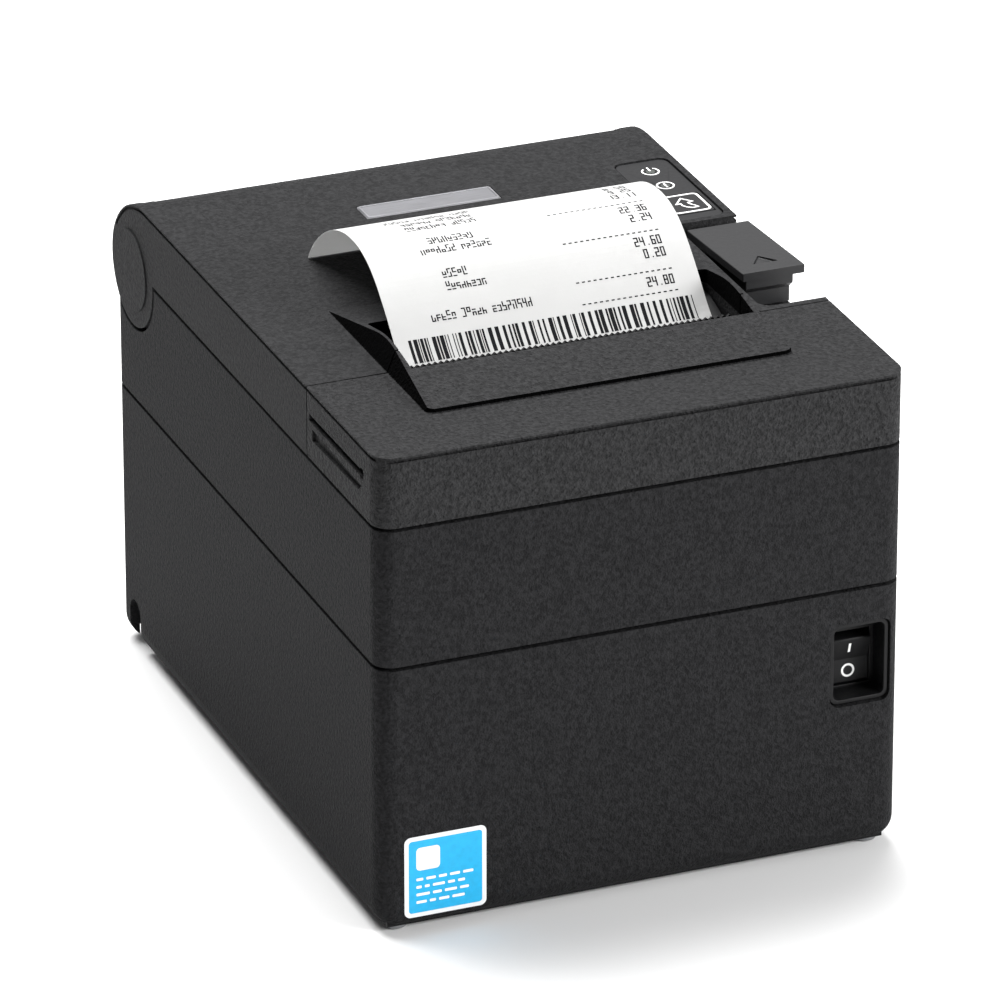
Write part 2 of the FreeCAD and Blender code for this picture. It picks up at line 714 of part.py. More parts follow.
def make_bottom_plate():
    body = body_named("bottom_plate_body")
    sketch = sketch_on(body, "XY_Plane", "bottom_plate_z")
    rectangle(sketch, ("-(case_width / 2 - wall - 0.5)", "case_width / 2 - wall - 0.5"),
              ("-(case_depth / 2 - wall - 0.5)", "bay_front + 1.2"))
    pad(body, sketch, "bottom_sheet")
    sketch = sketch_on(body, "XY_Plane")
    for x in ("-60.8", "60.8"):
        for y in ("-84.2", "58"):
            circle(sketch, x, y, "1.7")
    for x in ("-bracket_half_x", "bracket_half_x"):
        for y in ("-bracket_half_y", "bracket_half_y"):
            circle(sketch, x, y, "bracket_hole_radius")
    pocket(body, sketch, "10", reverse=True)
    keep(body, "bottom_plate")

    feet = [bar_z(x, y, ("0", "bottom_plate_z"), "foot_radius")
            for x in ("-50", "50") for y in ("-76", "54")]
    keep(group(*feet), "rubber_feet")

    def screw(x, y):
        head = bar_z(x, y, ("bottom_plate_z - 1", "bottom_plate_z"), "2.8")
        shank = bar_z(x, y, ("bottom_plate_z", "bottom_plate_z + 9"), "1.25")
        drive = bar_z(x, y, ("0", "bottom_plate_z - 0.4"), "1.1")
        return cut(fuse(head, shank), drive)
    keep(group(*[screw(x, y) for x in ("-60.8", "60.8") for y in ("-84.2", "58")]), "bottom_screws")


# Power switch and front label --------------------------------------------------

def make_power_switch():
    x_low, x_high = "switch_x - switch_width / 2", "switch_x + switch_width / 2"
    z_low, z_high = "switch_z - switch_height / 2", "switch_z + switch_height / 2"
    front = "-case_depth / 2"
    bezel = body_named("switch_bezel_body")
    sketch = sketch_on(bezel, "XZ_Plane", "case_depth / 2 - 1")
    rounded(sketch, (x_low + " + 0.3", x_high + " - 0.3"), (z_low + " + 0.3", z_high + " - 0.3"), "2.2")
    rounded(sketch, (x_low + " + 1.4", x_high + " - 1.4"), (z_low + " + 1.4", z_high + " - 1.4"), "1.4")
    pad(bezel, sketch, "6.5", reverse=True)
    keep(bezel, "switch_bezel")

    housing = box(("switch_x - 7.2", "switch_x + 7.2"), (front + " + 7.5", front + " + 20"),
                  (z_low + " + 0.5", z_high + " - 0.5"))
    well = box(("switch_x - 5.5", "switch_x + 5.5"), (front + " + 7", front + " + 16.5"),
               ("rocker_z - 7.1", "rocker_z + 7.1"))
    keep(cut(housing, well), "power_switch")

    body = body_named("power_rocker_body")
    sketch = sketch_on(body, "YZ_Plane")
    polygon(sketch, [("-4.0", "-6.3"), ("-2.9", "0"), ("-4.0", "6.3"), ("0", "6.0"), ("3", "3"),
                     ("3", "-3"), ("0", "-6.0")])
    pad(body, sketch, "10.4", both_ways=True)
    round_edges(body, "0.5", lambda edge: edge.BoundBox.XLength > 10 and edge_at(edge, y=-4.0))
    place(body, "switch_x", front + " + 10.5", "rocker_z", Rotation(Vector(1, 0, 0), 7))
    keep(body, "power_rocker")

    label = body_named("front_label_body")
    sketch = sketch_on(label, "XZ_Plane", "case_depth / 2")
    rectangle(sketch, ("-60.8", "-40"), ("4.6", "25.8"))
    pad(label, sketch, "0.15")
    round_edges(label, "1.6", lambda edge: near(edge.BoundBox.YLength, 0.15))
    keep(label, "front_label")


# Electronics -------------------------------------------------------------------

STANDOFFS = [(x, y) for x in ("-44", "44") for y in ("-62", "-34")]


def make_electronics():
    board = box(("-56", "56"), ("-80", "60"), ("board_z", "board_z + board_sheet"))
    holes = [bar_z(x, y, ("0", "20"), "3.4") for x, y in STANDOFFS]
    keep(cut(board, *holes), "main_board")
    top = "board_z + board_sheet"
    chips = [(-20, -6, -20, -6, 1.6), (6, 18, -22, -10, 1.4), (-36, -26, -10, 4, 1.8), (24, 40, -14, -4, 4.5),
             (-10, 10, 8, 26, 3.2), (28, 44, 20, 36, 5.0), (-46, -30, 22, 36, 5.0), (-24, -16, 34, 44, 4.0)]
    keep(group(*[box((str(a), str(b)), (str(c), str(d)), (top, "%s + %s" % (top, rise)))
                 for a, b, c, d, rise in chips]), "board_chips")

    def socket(label, x, width, height, mouth_width, mouth_height):
        rear = "bay_front + 2.4"
        shell = box(("%s - %s / 2" % (x, width), "%s + %s / 2" % (x, width)), ("bay_front - 14", rear),
                    (top, "%s + %s" % (top, height)))
        middle = "%s + %s / 2" % (top, height)
        mouth = box(("%s - %s / 2" % (x, mouth_width), "%s + %s / 2" % (x, mouth_width)),
                    ("bay_front - 8", "bay_front + 5"),
                    ("%s - %s / 2" % (middle, mouth_height), "%s + %s / 2" % (middle, mouth_height)))
        return keep(cut(shell, mouth), label)
    socket("drawer_socket", 34, 13.5, 13.0, 9.8, 6.6)
    socket("usb_socket", 12, 12.0, 11.0, 8.4, 7.6)
    socket("lan_socket", -11, 16.0, 13.4, 11.8, 8.0)

    dc_shell = box(("-43", "-29"), ("bay_front - 14", "bay_front + 2.4"), (top, top + " + 13"))
    dc_mouth = cylinder(("-36", "bay_front - 8", top + " + 6.5"), "12", "4.9", ALONG_Y)
    dc_post = cylinder(("-36", "bay_front - 9", top + " + 6.5"), "9", "1.6", ALONG_Y)
    keep(fuse(cut(dc_shell, dc_mouth), dc_post), "dc_inlet")

    body = body_named("rear_panel_body")
    foot = "bottom_plate_z + bottom_sheet"
    shelf_end = "case_depth / 2 - wall - 0.3"
    sketch = sketch_on(body, "YZ_Plane")
    polygon(sketch, [("bay_front", foot), ("bay_front + 1.2", foot), ("bay_front + 1.2", "bay_top - 1.2"),
                     (shelf_end, "bay_top - 1.2"), (shelf_end, "bay_top"), ("bay_front", "bay_top")])
    pad(body, sketch, "case_width - 2 * wall - 0.8", both_ways=True)
    sketch = sketch_on(body, "XZ_Plane", "-bay_front + 2")
    for x, width, height in ((34, 13.5, 13.0), (12, 12.0, 11.0), (-11, 16.0, 13.4), (-36, 14.0, 13.0)):
        rectangle(sketch, ("%s - %s / 2 - 0.2" % (x, width), "%s + %s / 2 + 0.2" % (x, width)),
                  (top + " - 0.2", "%s + %s + 0.2" % (top, height)))
    pocket(body, sketch, "6", reverse=False)
    keep(body, "rear_panel")


# Gear train ----------------------------------------------------------------------

PLATEN_TEETH = 14
IDLER_TEETH = 22
PINION_TEETH = 10
GEAR_MODULE = 1.0
IDLER_Y = "platen_y"
IDLER_Z = "(platen_z - 18)"
MOTOR_Y = "(platen_y - 16 * cos(40 deg))"
MOTOR_Z = "(platen_z - 18 - 16 * sin(40 deg))"
MOTOR_LINE = math.radians(220)
PLATEN_LINE = math.radians(90)


def gear_shape(teeth, bore, phase):
    """A spur gear along X, with straight-flanked teeth and some backlash."""
    width = size("gear_width")
    pitch = GEAR_MODULE * teeth / 2
    tip = pitch + 0.8 * GEAR_MODULE
    root = pitch - 1.1 * GEAR_MODULE
    step = 2 * math.pi / teeth
    corners = []
    for tooth in range(teeth):
        for radius, part in ((root, -0.27), (pitch, -0.185), (tip, -0.08),
                             (tip, 0.08), (pitch, 0.185), (root, 0.27)):
            angle = phase + (tooth + part) * step
            corners.append(Vector(-width / 2, radius * math.cos(angle), radius * math.sin(angle)))
    face = Part.Face(Part.makePolygon(corners + corners[:1]))
    gear = face.extrude(Vector(width, 0, 0))
    return gear.cut(Part.makeCylinder(bore, width + 2, Vector(-width / 2 - 1, 0, 0), Vector(1, 0, 0)))


def mesh_phase(own_teeth, line, mate_teeth, mate_phase):
    """The phase that puts a gap opposite the mate's tooth; line points to the mate."""
    mate_offset = ((line + math.pi - mate_phase) * mate_teeth / (2 * math.pi)) % 1.0
    return line + (0.5 + mate_offset) * 2 * math.pi / own_teeth


def shaped(label, shape, x="0", y="0", z="0"):
    """A sub-part whose shape comes from a calculation, then placed by the sheet."""
    feature = document.addObject("Part::Feature", label + "_shape")
    feature.Shape = shape
    place(feature, x, y, z)
    return keep(feature, label)


def make_gears():
    platen_phase = math.radians(7)
    idler_phase = mesh_phase(IDLER_TEETH, PLATEN_LINE, PLATEN_TEETH, platen_phase)
    pinion_phase = mesh_phase(PINION_TEETH, MOTOR_LINE - math.pi, IDLER_TEETH, idler_phase)
    shaped("platen_gear", gear_shape(PLATEN_TEETH, size("shaft_radius"), platen_phase),
           "gear_x", "platen_y", "platen_z")
    shaped("idler_gear", gear_shape(IDLER_TEETH, 2.06, idler_phase), "gear_x", IDLER_Y, IDLER_Z)
    pinion = gear_shape(PINION_TEETH, 1.0, pinion_phase)
    arbor = Part.makeCylinder(1.0, 10.5, Vector(-2.25, 0, 0), Vector(1, 0, 0))
    shaped("motor_pinion", pinion.fuse(arbor).removeSplitter(), "gear_x", MOTOR_Y, MOTOR_Z)

    plate = "-frame_half_width"
    axle = fuse(bar_x(("gear_x - 3.1", plate), IDLER_Y, IDLER_Z, "2"),
                bar_x(("gear_x + gear_width / 2 + 0.3", plate), IDLER_Y, IDLER_Z, "3.4"),
                bar_x(("gear_x - 3.1", "gear_x - gear_width / 2 - 0.3"), IDLER_Y, IDLER_Z, "3.2"))
    keep(axle, "idler_axle")


# Print mechanism -----------------------------------------------------------------

def make_mechanism_frame():
    body = body_named("mechanism_frame_body")
    half = "frame_half_width"
    inner = "(frame_half_width - frame_sheet)"
    through = "2 * frame_half_width + 10"
    # Channel: a floor and two side plates.
    sketch = sketch_on(body, "XZ_Plane", "-frame_rear")
    polygon(sketch, [("-" + half, "frame_floor"), (half, "frame_floor"), (half, "frame_top"),
                     (inner, "frame_top"), (inner, "frame_floor + frame_sheet"),
                     ("-" + inner, "frame_floor + frame_sheet"), ("-" + inner, "frame_top"),
                     ("-" + half, "frame_top")])
    pad(body, sketch, "frame_rear - frame_front")
    # Cross plate that backs the head springs.
    sketch = sketch_on(body, "YZ_Plane")
    rectangle(sketch, ("-56", "-56 + frame_sheet"), ("94", "111.8"))
    pad(body, sketch, "2 * %s + 0.4" % inner, both_ways=True)
    # Slots that the platen's bushes drop into, open at the top.
    sketch = sketch_on(body, "YZ_Plane")
    circle(sketch, "platen_y", "platen_z", "bush_radius + 0.3")
    pocket(body, sketch, through, both_ways=True)
    sketch = sketch_on(body, "YZ_Plane")
    polygon(sketch, [("platen_y - bush_radius - 0.3", "platen_z"), ("platen_y + bush_radius + 0.3", "platen_z"),
                     ("platen_y + bush_radius + 2", "frame_top + 1"),
                     ("platen_y - bush_radius - 0.6", "frame_top + 1")])
    pocket(body, sketch, through, both_ways=True)
    # Lightening windows in the side plates.
    sketch = sketch_on(body, "YZ_Plane")
    rectangle(sketch, ("-62", "-34"), ("24", "58"))
    pocket(body, sketch, through, both_ways=True)
    # Holes for the floor screws and for the motor's arbor.
    sketch = sketch_on(body, "XY_Plane", "frame_floor - 1")
    for x, y in STANDOFFS:
        circle(sketch, x, y, "1.6")
    pocket(body, sketch, "3", reverse=True)
    sketch = sketch_on(body, "YZ_Plane", "-(%s)" % half + " - 1")
    circle(sketch, MOTOR_Y, MOTOR_Z, "4")
    pocket(body, sketch, "3", reverse=True)
    keep(body, "mechanism_frame")

    def standoff(x, y):
        low = "bottom_plate_z + bottom_sheet"
        return cut(fuse(bar_z(x, y, (low, "board_z"), "4.6"), bar_z(x, y, (low, "frame_floor"), "3")),
                   bar_z(x, y, ("frame_floor - 8", "frame_floor + 1"), "1.3"))

    def screw(x, y):
        head_base = "frame_floor + frame_sheet"
        head = bar_z(x, y, (head_base, head_base + " + 1.8"), "2.6")
        shank = bar_z(x, y, ("frame_floor - 6", head_base), "1.3")
        drive = bar_z(x, y, (head_base + " + 0.8", head_base + " + 3"), "1")
        return cut(fuse(head, shank), drive)
    keep(group(*[standoff(x, y) for x, y in STANDOFFS]), "frame_standoffs")
    keep(group(*[screw(x, y) for x, y in STANDOFFS]), "mechanism_screws")


def coil(radius, wire, length, turns, axis):
    """An open coil spring from the origin along the axis."""
    helix = Part.makeHelix(length / turns, length, radius)
    ring = Part.Wire(Part.makeCircle(wire, Vector(radius, 0, 0), Vector(0, 1, 0)))
    spring = Part.Wire(helix).makePipeShell([ring], True, True)
    spring.Placement = Placement(Vector(), Rotation(Vector(0, 0, 1), axis))
    return spring


def make_head_and_cutter():
    keep(box(("-42", "42"), ("head_face_y - 1.4", "head_face_y"), ("98", "112.5")), "thermal_head")
    sink = box(("-44", "44"), ("head_face_y - 5", "head_face_y - 1.4"), ("96", "113"))
    keep(cut(sink, box(("-38", "38"), ("head_face_y - 6", "head_face_y - 3.6"), ("99", "110"))), "heat_sink")
    spring_length = size("head_face_y") - 3.6 + 54.8
    springs = []
    for x in (-24, 24):
        spring = coil(2.4, 0.4, spring_length - 0.8, 5, Vector(0, 1, 0))
        spring.translate(Vector(x, -54.4, 104.5))
        springs.append(spring)
    shaped("head_springs", Part.makeCompound(springs))

    housing = box(("-49.6", "49.6"), ("-74", "-45.2"), ("frame_top", "118.6"))
    nose = box(("-43.2", "43.2"), ("-45.4", "-39.7"), ("113.8", "119.2"))
    rib = box(("-43.2", "43.2"), ("-44.6", "-43.4"), ("119", "121.2"))
    bar = box(("-43.2", "43.2"), ("-41.6", "-39.7"), ("119", "121.6"))
    slit = box(("-42.4", "42.4"), ("-66", "-39"), ("blade_z - 0.1", "blade_z + blade_sheet + 0.1"))
    keep(cut(fuse(housing, nose, rib, bar), slit), "cutter_unit")

    blade = body_named("cutter_blade_body")
    sketch = sketch_on(blade, "XY_Plane", "blade_z")
    polygon(sketch, [("-42", "-60"), ("42", "-60"), ("42", "-40.2"), ("1", "-41.8"), ("1", "-44.5"),
                     ("-1", "-44.5"), ("-1", "-41.8"), ("-42", "-40.2")])
    pad(blade, sketch, "blade_sheet")
    keep(blade, "cutter_blade")
    fixed_low = "blade_z + blade_sheet + 0.05"
    keep(box(("-42", "42"), ("-38.35", "-28.5"), (fixed_low, fixed_low + " + blade_sheet")), "fixed_blade")
    keep(fuse(bar_x(("14", "38"), "-66", "104.4", "7.4"), bar_x(("9", "14"), "-66", "104.4", "2")),
         "cutter_motor")

    inner = "(frame_half_width - frame_sheet)"
    can = bar_x(("-" + inner, "-26"), MOTOR_Y, MOTOR_Z, "motor_radius")
    bearing = bar_x(("-" + inner + " - 3", "-" + inner + " + 3"), MOTOR_Y, MOTOR_Z, "1.2")
    keep(cut(can, bearing), "feed_motor")


def make_platen():
    left, right = "gear_x - gear_width / 2 - 0.6", "frame_half_width + 1.8"
    keep(bar_x((left, right), "platen_y", "platen_z", "shaft_radius"), "platen_shaft")
    keep(cut(bar_x(("-platen_half_length", "platen_half_length"), "platen_y", "platen_z", "platen_radius"),
             bar_x(("-60", "60"), "platen_y", "platen_z", "shaft_radius")), "platen_roller")
    bushes = []
    for low, high in (("-52.4", "-44.8"), ("44.8", "52.4")):
        bushes.append(cut(bar_x((low, high), "platen_y", "platen_z", "bush_radius"),
                          bar_x(("-60", "60"), "platen_y", "platen_z", "shaft_radius + running_gap")))
    keep(group(*bushes), "platen_bushes")

    body = body_named("platen_bracket_body")
    arms = []
    lid_under = "(case_top - lid_skin)"
    for offset in ("44.8", "-46.4"):
        sketch = sketch_on(body, "YZ_Plane", offset)
        polygon(sketch, [("-37.4", "101.6"), ("-28.1", "101.6"), ("-25", "108"), ("-23", lid_under),
                         ("-30", lid_under), ("-37.4", "114")])
        arms.append(pad(body, sketch, "1.6"))
    sketch = sketch_on(body, "YZ_Plane")
    polygon(sketch, [("-34", "113.4"), ("-24.6", "113.4"), ("-24.6", "blade_z + blade_sheet + 0.05"),
                     ("-31", "blade_z + blade_sheet + 0.05"), ("-31", "115.8"), ("-34", "115.8")])
    pad(body, sketch, "92", both_ways=True)
    sketch = sketch_on(body, "YZ_Plane")
    circle(sketch, "platen_y", "platen_z", "bush_radius")
    pocket(body, sketch, "120", both_ways=True)
    # Eyes that carry the latch shaft.
    for offset in ("44.8", "-46.4"):
        sketch = sketch_on(body, "YZ_Plane", offset)
        polygon(sketch, [("-26", "110"), ("-24", "114.5"), ("-15.5", "112"), ("-14.6", "109"), ("-16", "105.8"),
                         ("-20", "105.4"), ("-26", "107.5")])
        pad(body, sketch, "1.6")
    sketch = sketch_on(body, "YZ_Plane")
    circle(sketch, "-18", "109", "2 + running_gap")
    pocket(body, sketch, "120", both_ways=True)
    keep(body, "platen_bracket")

    floor = body_named("lid_liner_body")
    sketch = sketch_on(floor, "YZ_Plane")
    polygon(sketch, [("-37.6", "118.3"), ("-37.6", "119.5"), ("-27.3", "122.4"), ("exit_rear", "122.4"),
                     ("exit_rear", "120.9"), ("-27.1", "120.9")])
    pad(floor, sketch, "2 * (exit_half_width - 0.2)", both_ways=True)
    for low in ("exit_half_width", "-exit_half_width - 1"):
        sketch = sketch_on(floor, "YZ_Plane", low)
        polygon(sketch, [("-37.6", "118.3"), ("-37.6", lid_under),
                         ("exit_rear", lid_under), ("exit_rear", "118.3")])
        pad(floor, sketch, "1")
    sketch = sketch_on(floor, "YZ_Plane")
    polygon(sketch, [("-37.6", "118.3"), ("-37.6", "119.2"), ("-27.3", "120.9"), ("-27.1", "118.3")])
    pad(floor, sketch, "2 * exit_half_width + 1", both_ways=True)
    keep(floor, "lid_liner")


# Latch, lever, button, hinge -------------------------------------------------------

def make_latch():
    keep(bar_x(("-54.2", "54.2"), "-18", "109", "2"), "latch_shaft")
    hooks = []
    for low in (52.0, -54.0):
        outline = [(-21.5, 110.5), (-18, 112.4), (-14.6, 109), (-16.5, 105.5), (-21.2, 98.0), (-24.6, 95.4),
                   (-25.6, 96.6), (-23.6, 99.4), (-23.0, 102.0)]
        corners = [Vector(low, y, z) for y, z in outline]
        hook = Part.Face(Part.makePolygon(corners + corners[:1])).extrude(Vector(2.0, 0, 0))
        hooks.append(hook.cut(Part.makeCylinder(2.0, 8, Vector(low - 3, -18, 109), Vector(1, 0, 0))))
    shaped("latch_hooks", Part.makeCompound(hooks))
    keep(group(bar_x(("frame_half_width", "54.4"), "-26.4", "99.4", "1.6"),
               bar_x(("-54.4", "-frame_half_width"), "-26.4", "99.4", "1.6")), "latch_pins")


def make_lever():
    body = body_named("open_lever_body")
    sketch = sketch_on(body, "YZ_Plane", "lever_left")
    polygon(sketch, [("lever_front", "lever_front_z"), ("lever_rear", "lever_rear_z"),
                     ("lever_rear", "lever_rear_z - lever_plate"),
                     ("lever_front", "lever_front_z - lever_plate")])
    pad(body, sketch, "lever_right - lever_left")
    # Block under the plate, and the boss around the pin.
    sketch = sketch_on(body, "YZ_Plane", "lever_left + 1.7")
    polygon(sketch, [("-24.4", "124.5"), ("-24.4", "121"), ("-22.6", "119.4"), ("-22.6", "115.4"),
                     ("-1.5", "115.4"), ("-1.5", "123.4")])
    pad(body, sketch, "lever_right - lever_left - 3.9")
    sketch = sketch_on(body, "YZ_Plane", "lever_left + 1.7")
    polygon(sketch, [("-2", "115.7"), ("lever_pivot_y", "lever_pivot_z - 3"),
                     ("lever_pivot_y + 3", "lever_pivot_z"), ("lever_pivot_y + 3", "122.8"), ("-2", "123.2")])
    pad(body, sketch, "8.6")
    sketch = sketch_on(body, "YZ_Plane", "lever_left")
    circle(sketch, "lever_pivot_y", "lever_pivot_z", "lever_pin_radius + running_gap")
    pocket(body, sketch, "16", reverse=True)
    # Sunk arrow that shows which end to pull.
    sketch = sketch_on(body, "XY_Plane", "lever_front_z - 1.1")
    polygon(sketch, [("57.4", "-21.2"), ("64", "-21.2"), ("60.7", "-16.2")])
    pocket(body, sketch, "6", reverse=True)
    keep(body, "open_lever")
    keep(bar_x(("slot_left - 1.8", "64"), "lever_pivot_y", "lever_pivot_z", "lever_pin_radius"), "lever_pin")
    shaped("lever_spring", coil(2.1, 0.35, 2.2, 2.5, Vector(1, 0, 0)), "51.2", "lever_pivot_y", "lever_pivot_z")


def make_button_panel():
    middle_x = "(button_left + button_right) / 2"
    sheet_low = "case_top - panel_recess"
    body = body_named("button_panel_body")
    sketch = sketch_on(body, "XY_Plane", sheet_low)
    rounded(sketch, ("panel_left + 0.35", "panel_right - 0.35"), ("panel_front + 0.35", "panel_rear - 0.35"),
            "(panel_corner - 0.35)")
    rectangle(sketch, ("button_left", "button_right"), ("button_front", "button_rear"))
    circle(sketch, middle_x, "error_light_y", "light_radius + 0.1")
    circle(sketch, middle_x, "power_light_y", "light_radius + 0.1")
    pad(body, sketch, "panel_sheet")
    keep(body, "button_panel")

    cap = box(("button_left + button_gap", "button_right - button_gap"),
              ("button_front + button_gap", "button_rear - button_gap"), ("119.4", "case_top - 0.2"))
    flange = box(("button_left - 1.2", "button_right - button_gap"), ("button_front - 1", "button_rear + 1"),
                 ("119.4", "case_top - lid_skin - 0.3"))
    keep(fuse(cap, flange), "feed_button")
    keep(box(("51.2", "63.9"), ("15", "51.5"), ("panel_board_z", "panel_board_z + 1.6")), "panel_board")
    shaped("button_spring", coil(2.4, 0.4, 3.9, 2.5, Vector(0, 0, 1)), middle_x, "23", "panel_board_z + 1.9")
    keep(group(*[bar_z(middle_x, y, ("panel_board_z + 1.6", "case_top - 0.25"), "light_radius")
                 for y in ("error_light_y", "power_light_y")]), "light_pipes")
    keep(box(("-plate_half_width + 0.2", "plate_half_width - 0.2"), ("plate_front + 0.2", "plate_rear - 0.2"),
             ("case_top - plate_recess", "case_top + 0.05")), "nameplate")
    inner, outer = "(case_width / 2 - 8.6)", "(case_width / 2 - 1.4)"
    keep(group(bar_x((inner, outer), "hinge_y", "hinge_z", "hinge_pin_radius"),
               bar_x(("-" + outer, "-" + inner), "hinge_y", "hinge_z", "hinge_pin_radius")), "hinge_pins")


# Paper ---------------------------------------------------------------------------

def make_paper_store():
    def trough(half_width, radius, top):
        across = ("-(%s)" % half_width, half_width)
        return fuse(bar_x(across, "bucket_y", "bucket_z", radius),
                    box(across, ("bucket_y - (%s)" % radius, "bucket_y + (%s)" % radius), ("bucket_z", top)))
    outer = trough("bucket_half_width + bucket_wall", "bucket_radius + bucket_wall", "bucket_top")
    inner = trough("bucket_half_width", "bucket_radius", "bucket_top + 20")
    flange = box(("-(case_width / 2 - wall - 0.2)", "case_width / 2 - wall - 0.2"), ("-19", "56"),
                 ("bucket_top - 1.5", "bucket_top"))
    above = box(("-50", "50"), ("-30", "80"), ("bucket_top", "bucket_top + 30"))
    keep(cut(fuse(outer, flange), inner, above), "paper_bucket")
    centre = "bucket_z - bucket_radius + roll_radius + roll_lift"
    roll = bar_x(("-paper_width / 2", "paper_width / 2"), "bucket_y", centre, "roll_radius")
    tunnel = bar_x(("-50", "50"), "bucket_y", centre, "core_radius")
    keep(cut(roll, tunnel), "paper_roll")
    core = bar_x(("-paper_width / 2", "paper_width / 2"), "bucket_y", centre, "core_radius")
    keep(cut(core, bar_x(("-50", "50"), "bucket_y", centre, "core_radius - core_wall")), "roll_core")


def ribbon(points):
    """A strip of paper whose middle line runs through the points (Y, Z)."""
    half = size("paper_thickness") / 2
    sides = ([], [])
    for i, (y, z) in enumerate(points):
        before, after = points[max(i - 1, 0)], points[min(i + 1, len(points) - 1)]
        run, rise = after[0] - before[0], after[1] - before[1]
        length = math.hypot(run, rise)
        for side, sign in zip(sides, (1, -1)):
            shift = sign * half / length
            side.append(Vector(-size("paper_width") / 2, y - shift * rise, z + shift * run))
    loop = sides[0] + sides[1][::-1]
    return Part.Face(Part.makePolygon(loop + loop[:1])).extrude(Vector(size("paper_width"), 0, 0))


def smoothed(points, count):
    """The points of a smooth curve through a few given ones."""
    curve = Part.BSplineCurve()
    curve.interpolate([Vector(0, y, z) for y, z in points])
    return [(point.y, point.z) for point in curve.discretize(Number=count)]


def make_paper():
    line = size("paper_line_y")
    # Printed strip: up out of the slot, over in a high arch and down onto the lid.
    arch = [(line, 117.3), (line, 118.6), (-38.3, 119.9), (-35.9, 122.0), (-32.1, 125.4), (-28, 129.5),
            (-23, 134), (-16.5, 138.6), (-10.1, 140.9), (-3.8, 141.4), (3.5, 140.4), (9.5, 138.2),
            (15.3, 134.9), (21.2, 130.1), (25.2, 124.75)]
    shaped("receipt", ribbon(smoothed(arch, 60)))
    # Inner strip: off the top of the roll, under the platen and up past the head.
    bend = 3.0
    turn = [(line + bend * (1 - math.cos(math.radians(a))), 101.5 - bend * math.sin(math.radians(a)))
            for a in range(0, 85, 12)]
    shaped("paper_web", ribbon([(line, 115.5), (line, 106.0)] + turn + [(20.0, 92.6)]))


make_base_case()
make_middle_case()
make_front_cover()
make_lid_shell()
make_bottom_plate()
make_power_switch()
make_electronics()
make_mechanism_frame()
make_gears()
make_head_and_cutter()
make_platen()
make_latch()
make_lever()
make_button_panel()
make_paper_store()
make_paper()
document.recompute()

for item in document.Objects:
    if "Invalid" in item.State or "Error" in item.State:
        raise ValueError("%s did not recompute: %s" % (item.Name, item.State))

os.makedirs("parts", exist_ok=True)
for part in sub_parts:
    if part.Shape.isNull() or not part.Shape.isValid():
        raise ValueError("%s is not a valid shape" % part.Label)
    part.Shape.exportStep("parts/%s.step" % part.Label)
    print("%s: %d solid(s), %.1f mm3" % (part.Label, len(part.Shape.Solids), part.Shape.Volume))
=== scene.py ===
import json
import math
import random

import bmesh
import bpy
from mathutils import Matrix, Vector
from mathutils.bvhtree import BVHTree


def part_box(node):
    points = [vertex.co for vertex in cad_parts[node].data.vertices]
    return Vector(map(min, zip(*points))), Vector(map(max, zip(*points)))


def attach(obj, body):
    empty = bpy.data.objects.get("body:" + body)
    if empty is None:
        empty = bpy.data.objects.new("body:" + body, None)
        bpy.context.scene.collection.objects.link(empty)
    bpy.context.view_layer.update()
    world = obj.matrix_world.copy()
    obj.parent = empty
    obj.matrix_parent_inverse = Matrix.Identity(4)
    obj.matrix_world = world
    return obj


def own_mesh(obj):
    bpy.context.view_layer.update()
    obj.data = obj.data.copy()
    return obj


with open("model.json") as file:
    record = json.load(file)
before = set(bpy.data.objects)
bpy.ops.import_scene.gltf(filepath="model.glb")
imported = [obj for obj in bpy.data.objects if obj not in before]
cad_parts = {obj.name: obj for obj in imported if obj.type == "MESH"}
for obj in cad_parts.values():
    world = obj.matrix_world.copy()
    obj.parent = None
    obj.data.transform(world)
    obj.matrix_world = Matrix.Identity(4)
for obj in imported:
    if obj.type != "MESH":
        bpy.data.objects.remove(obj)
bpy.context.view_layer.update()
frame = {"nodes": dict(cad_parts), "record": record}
NODES = frame["nodes"]
MM = 0.001
# The hood is everything of the covers that stands this far above the base case's top.
HOOD_ABOVE_BASE = 52.1 * MM


# Node helpers for materials ------------------------------------------------------

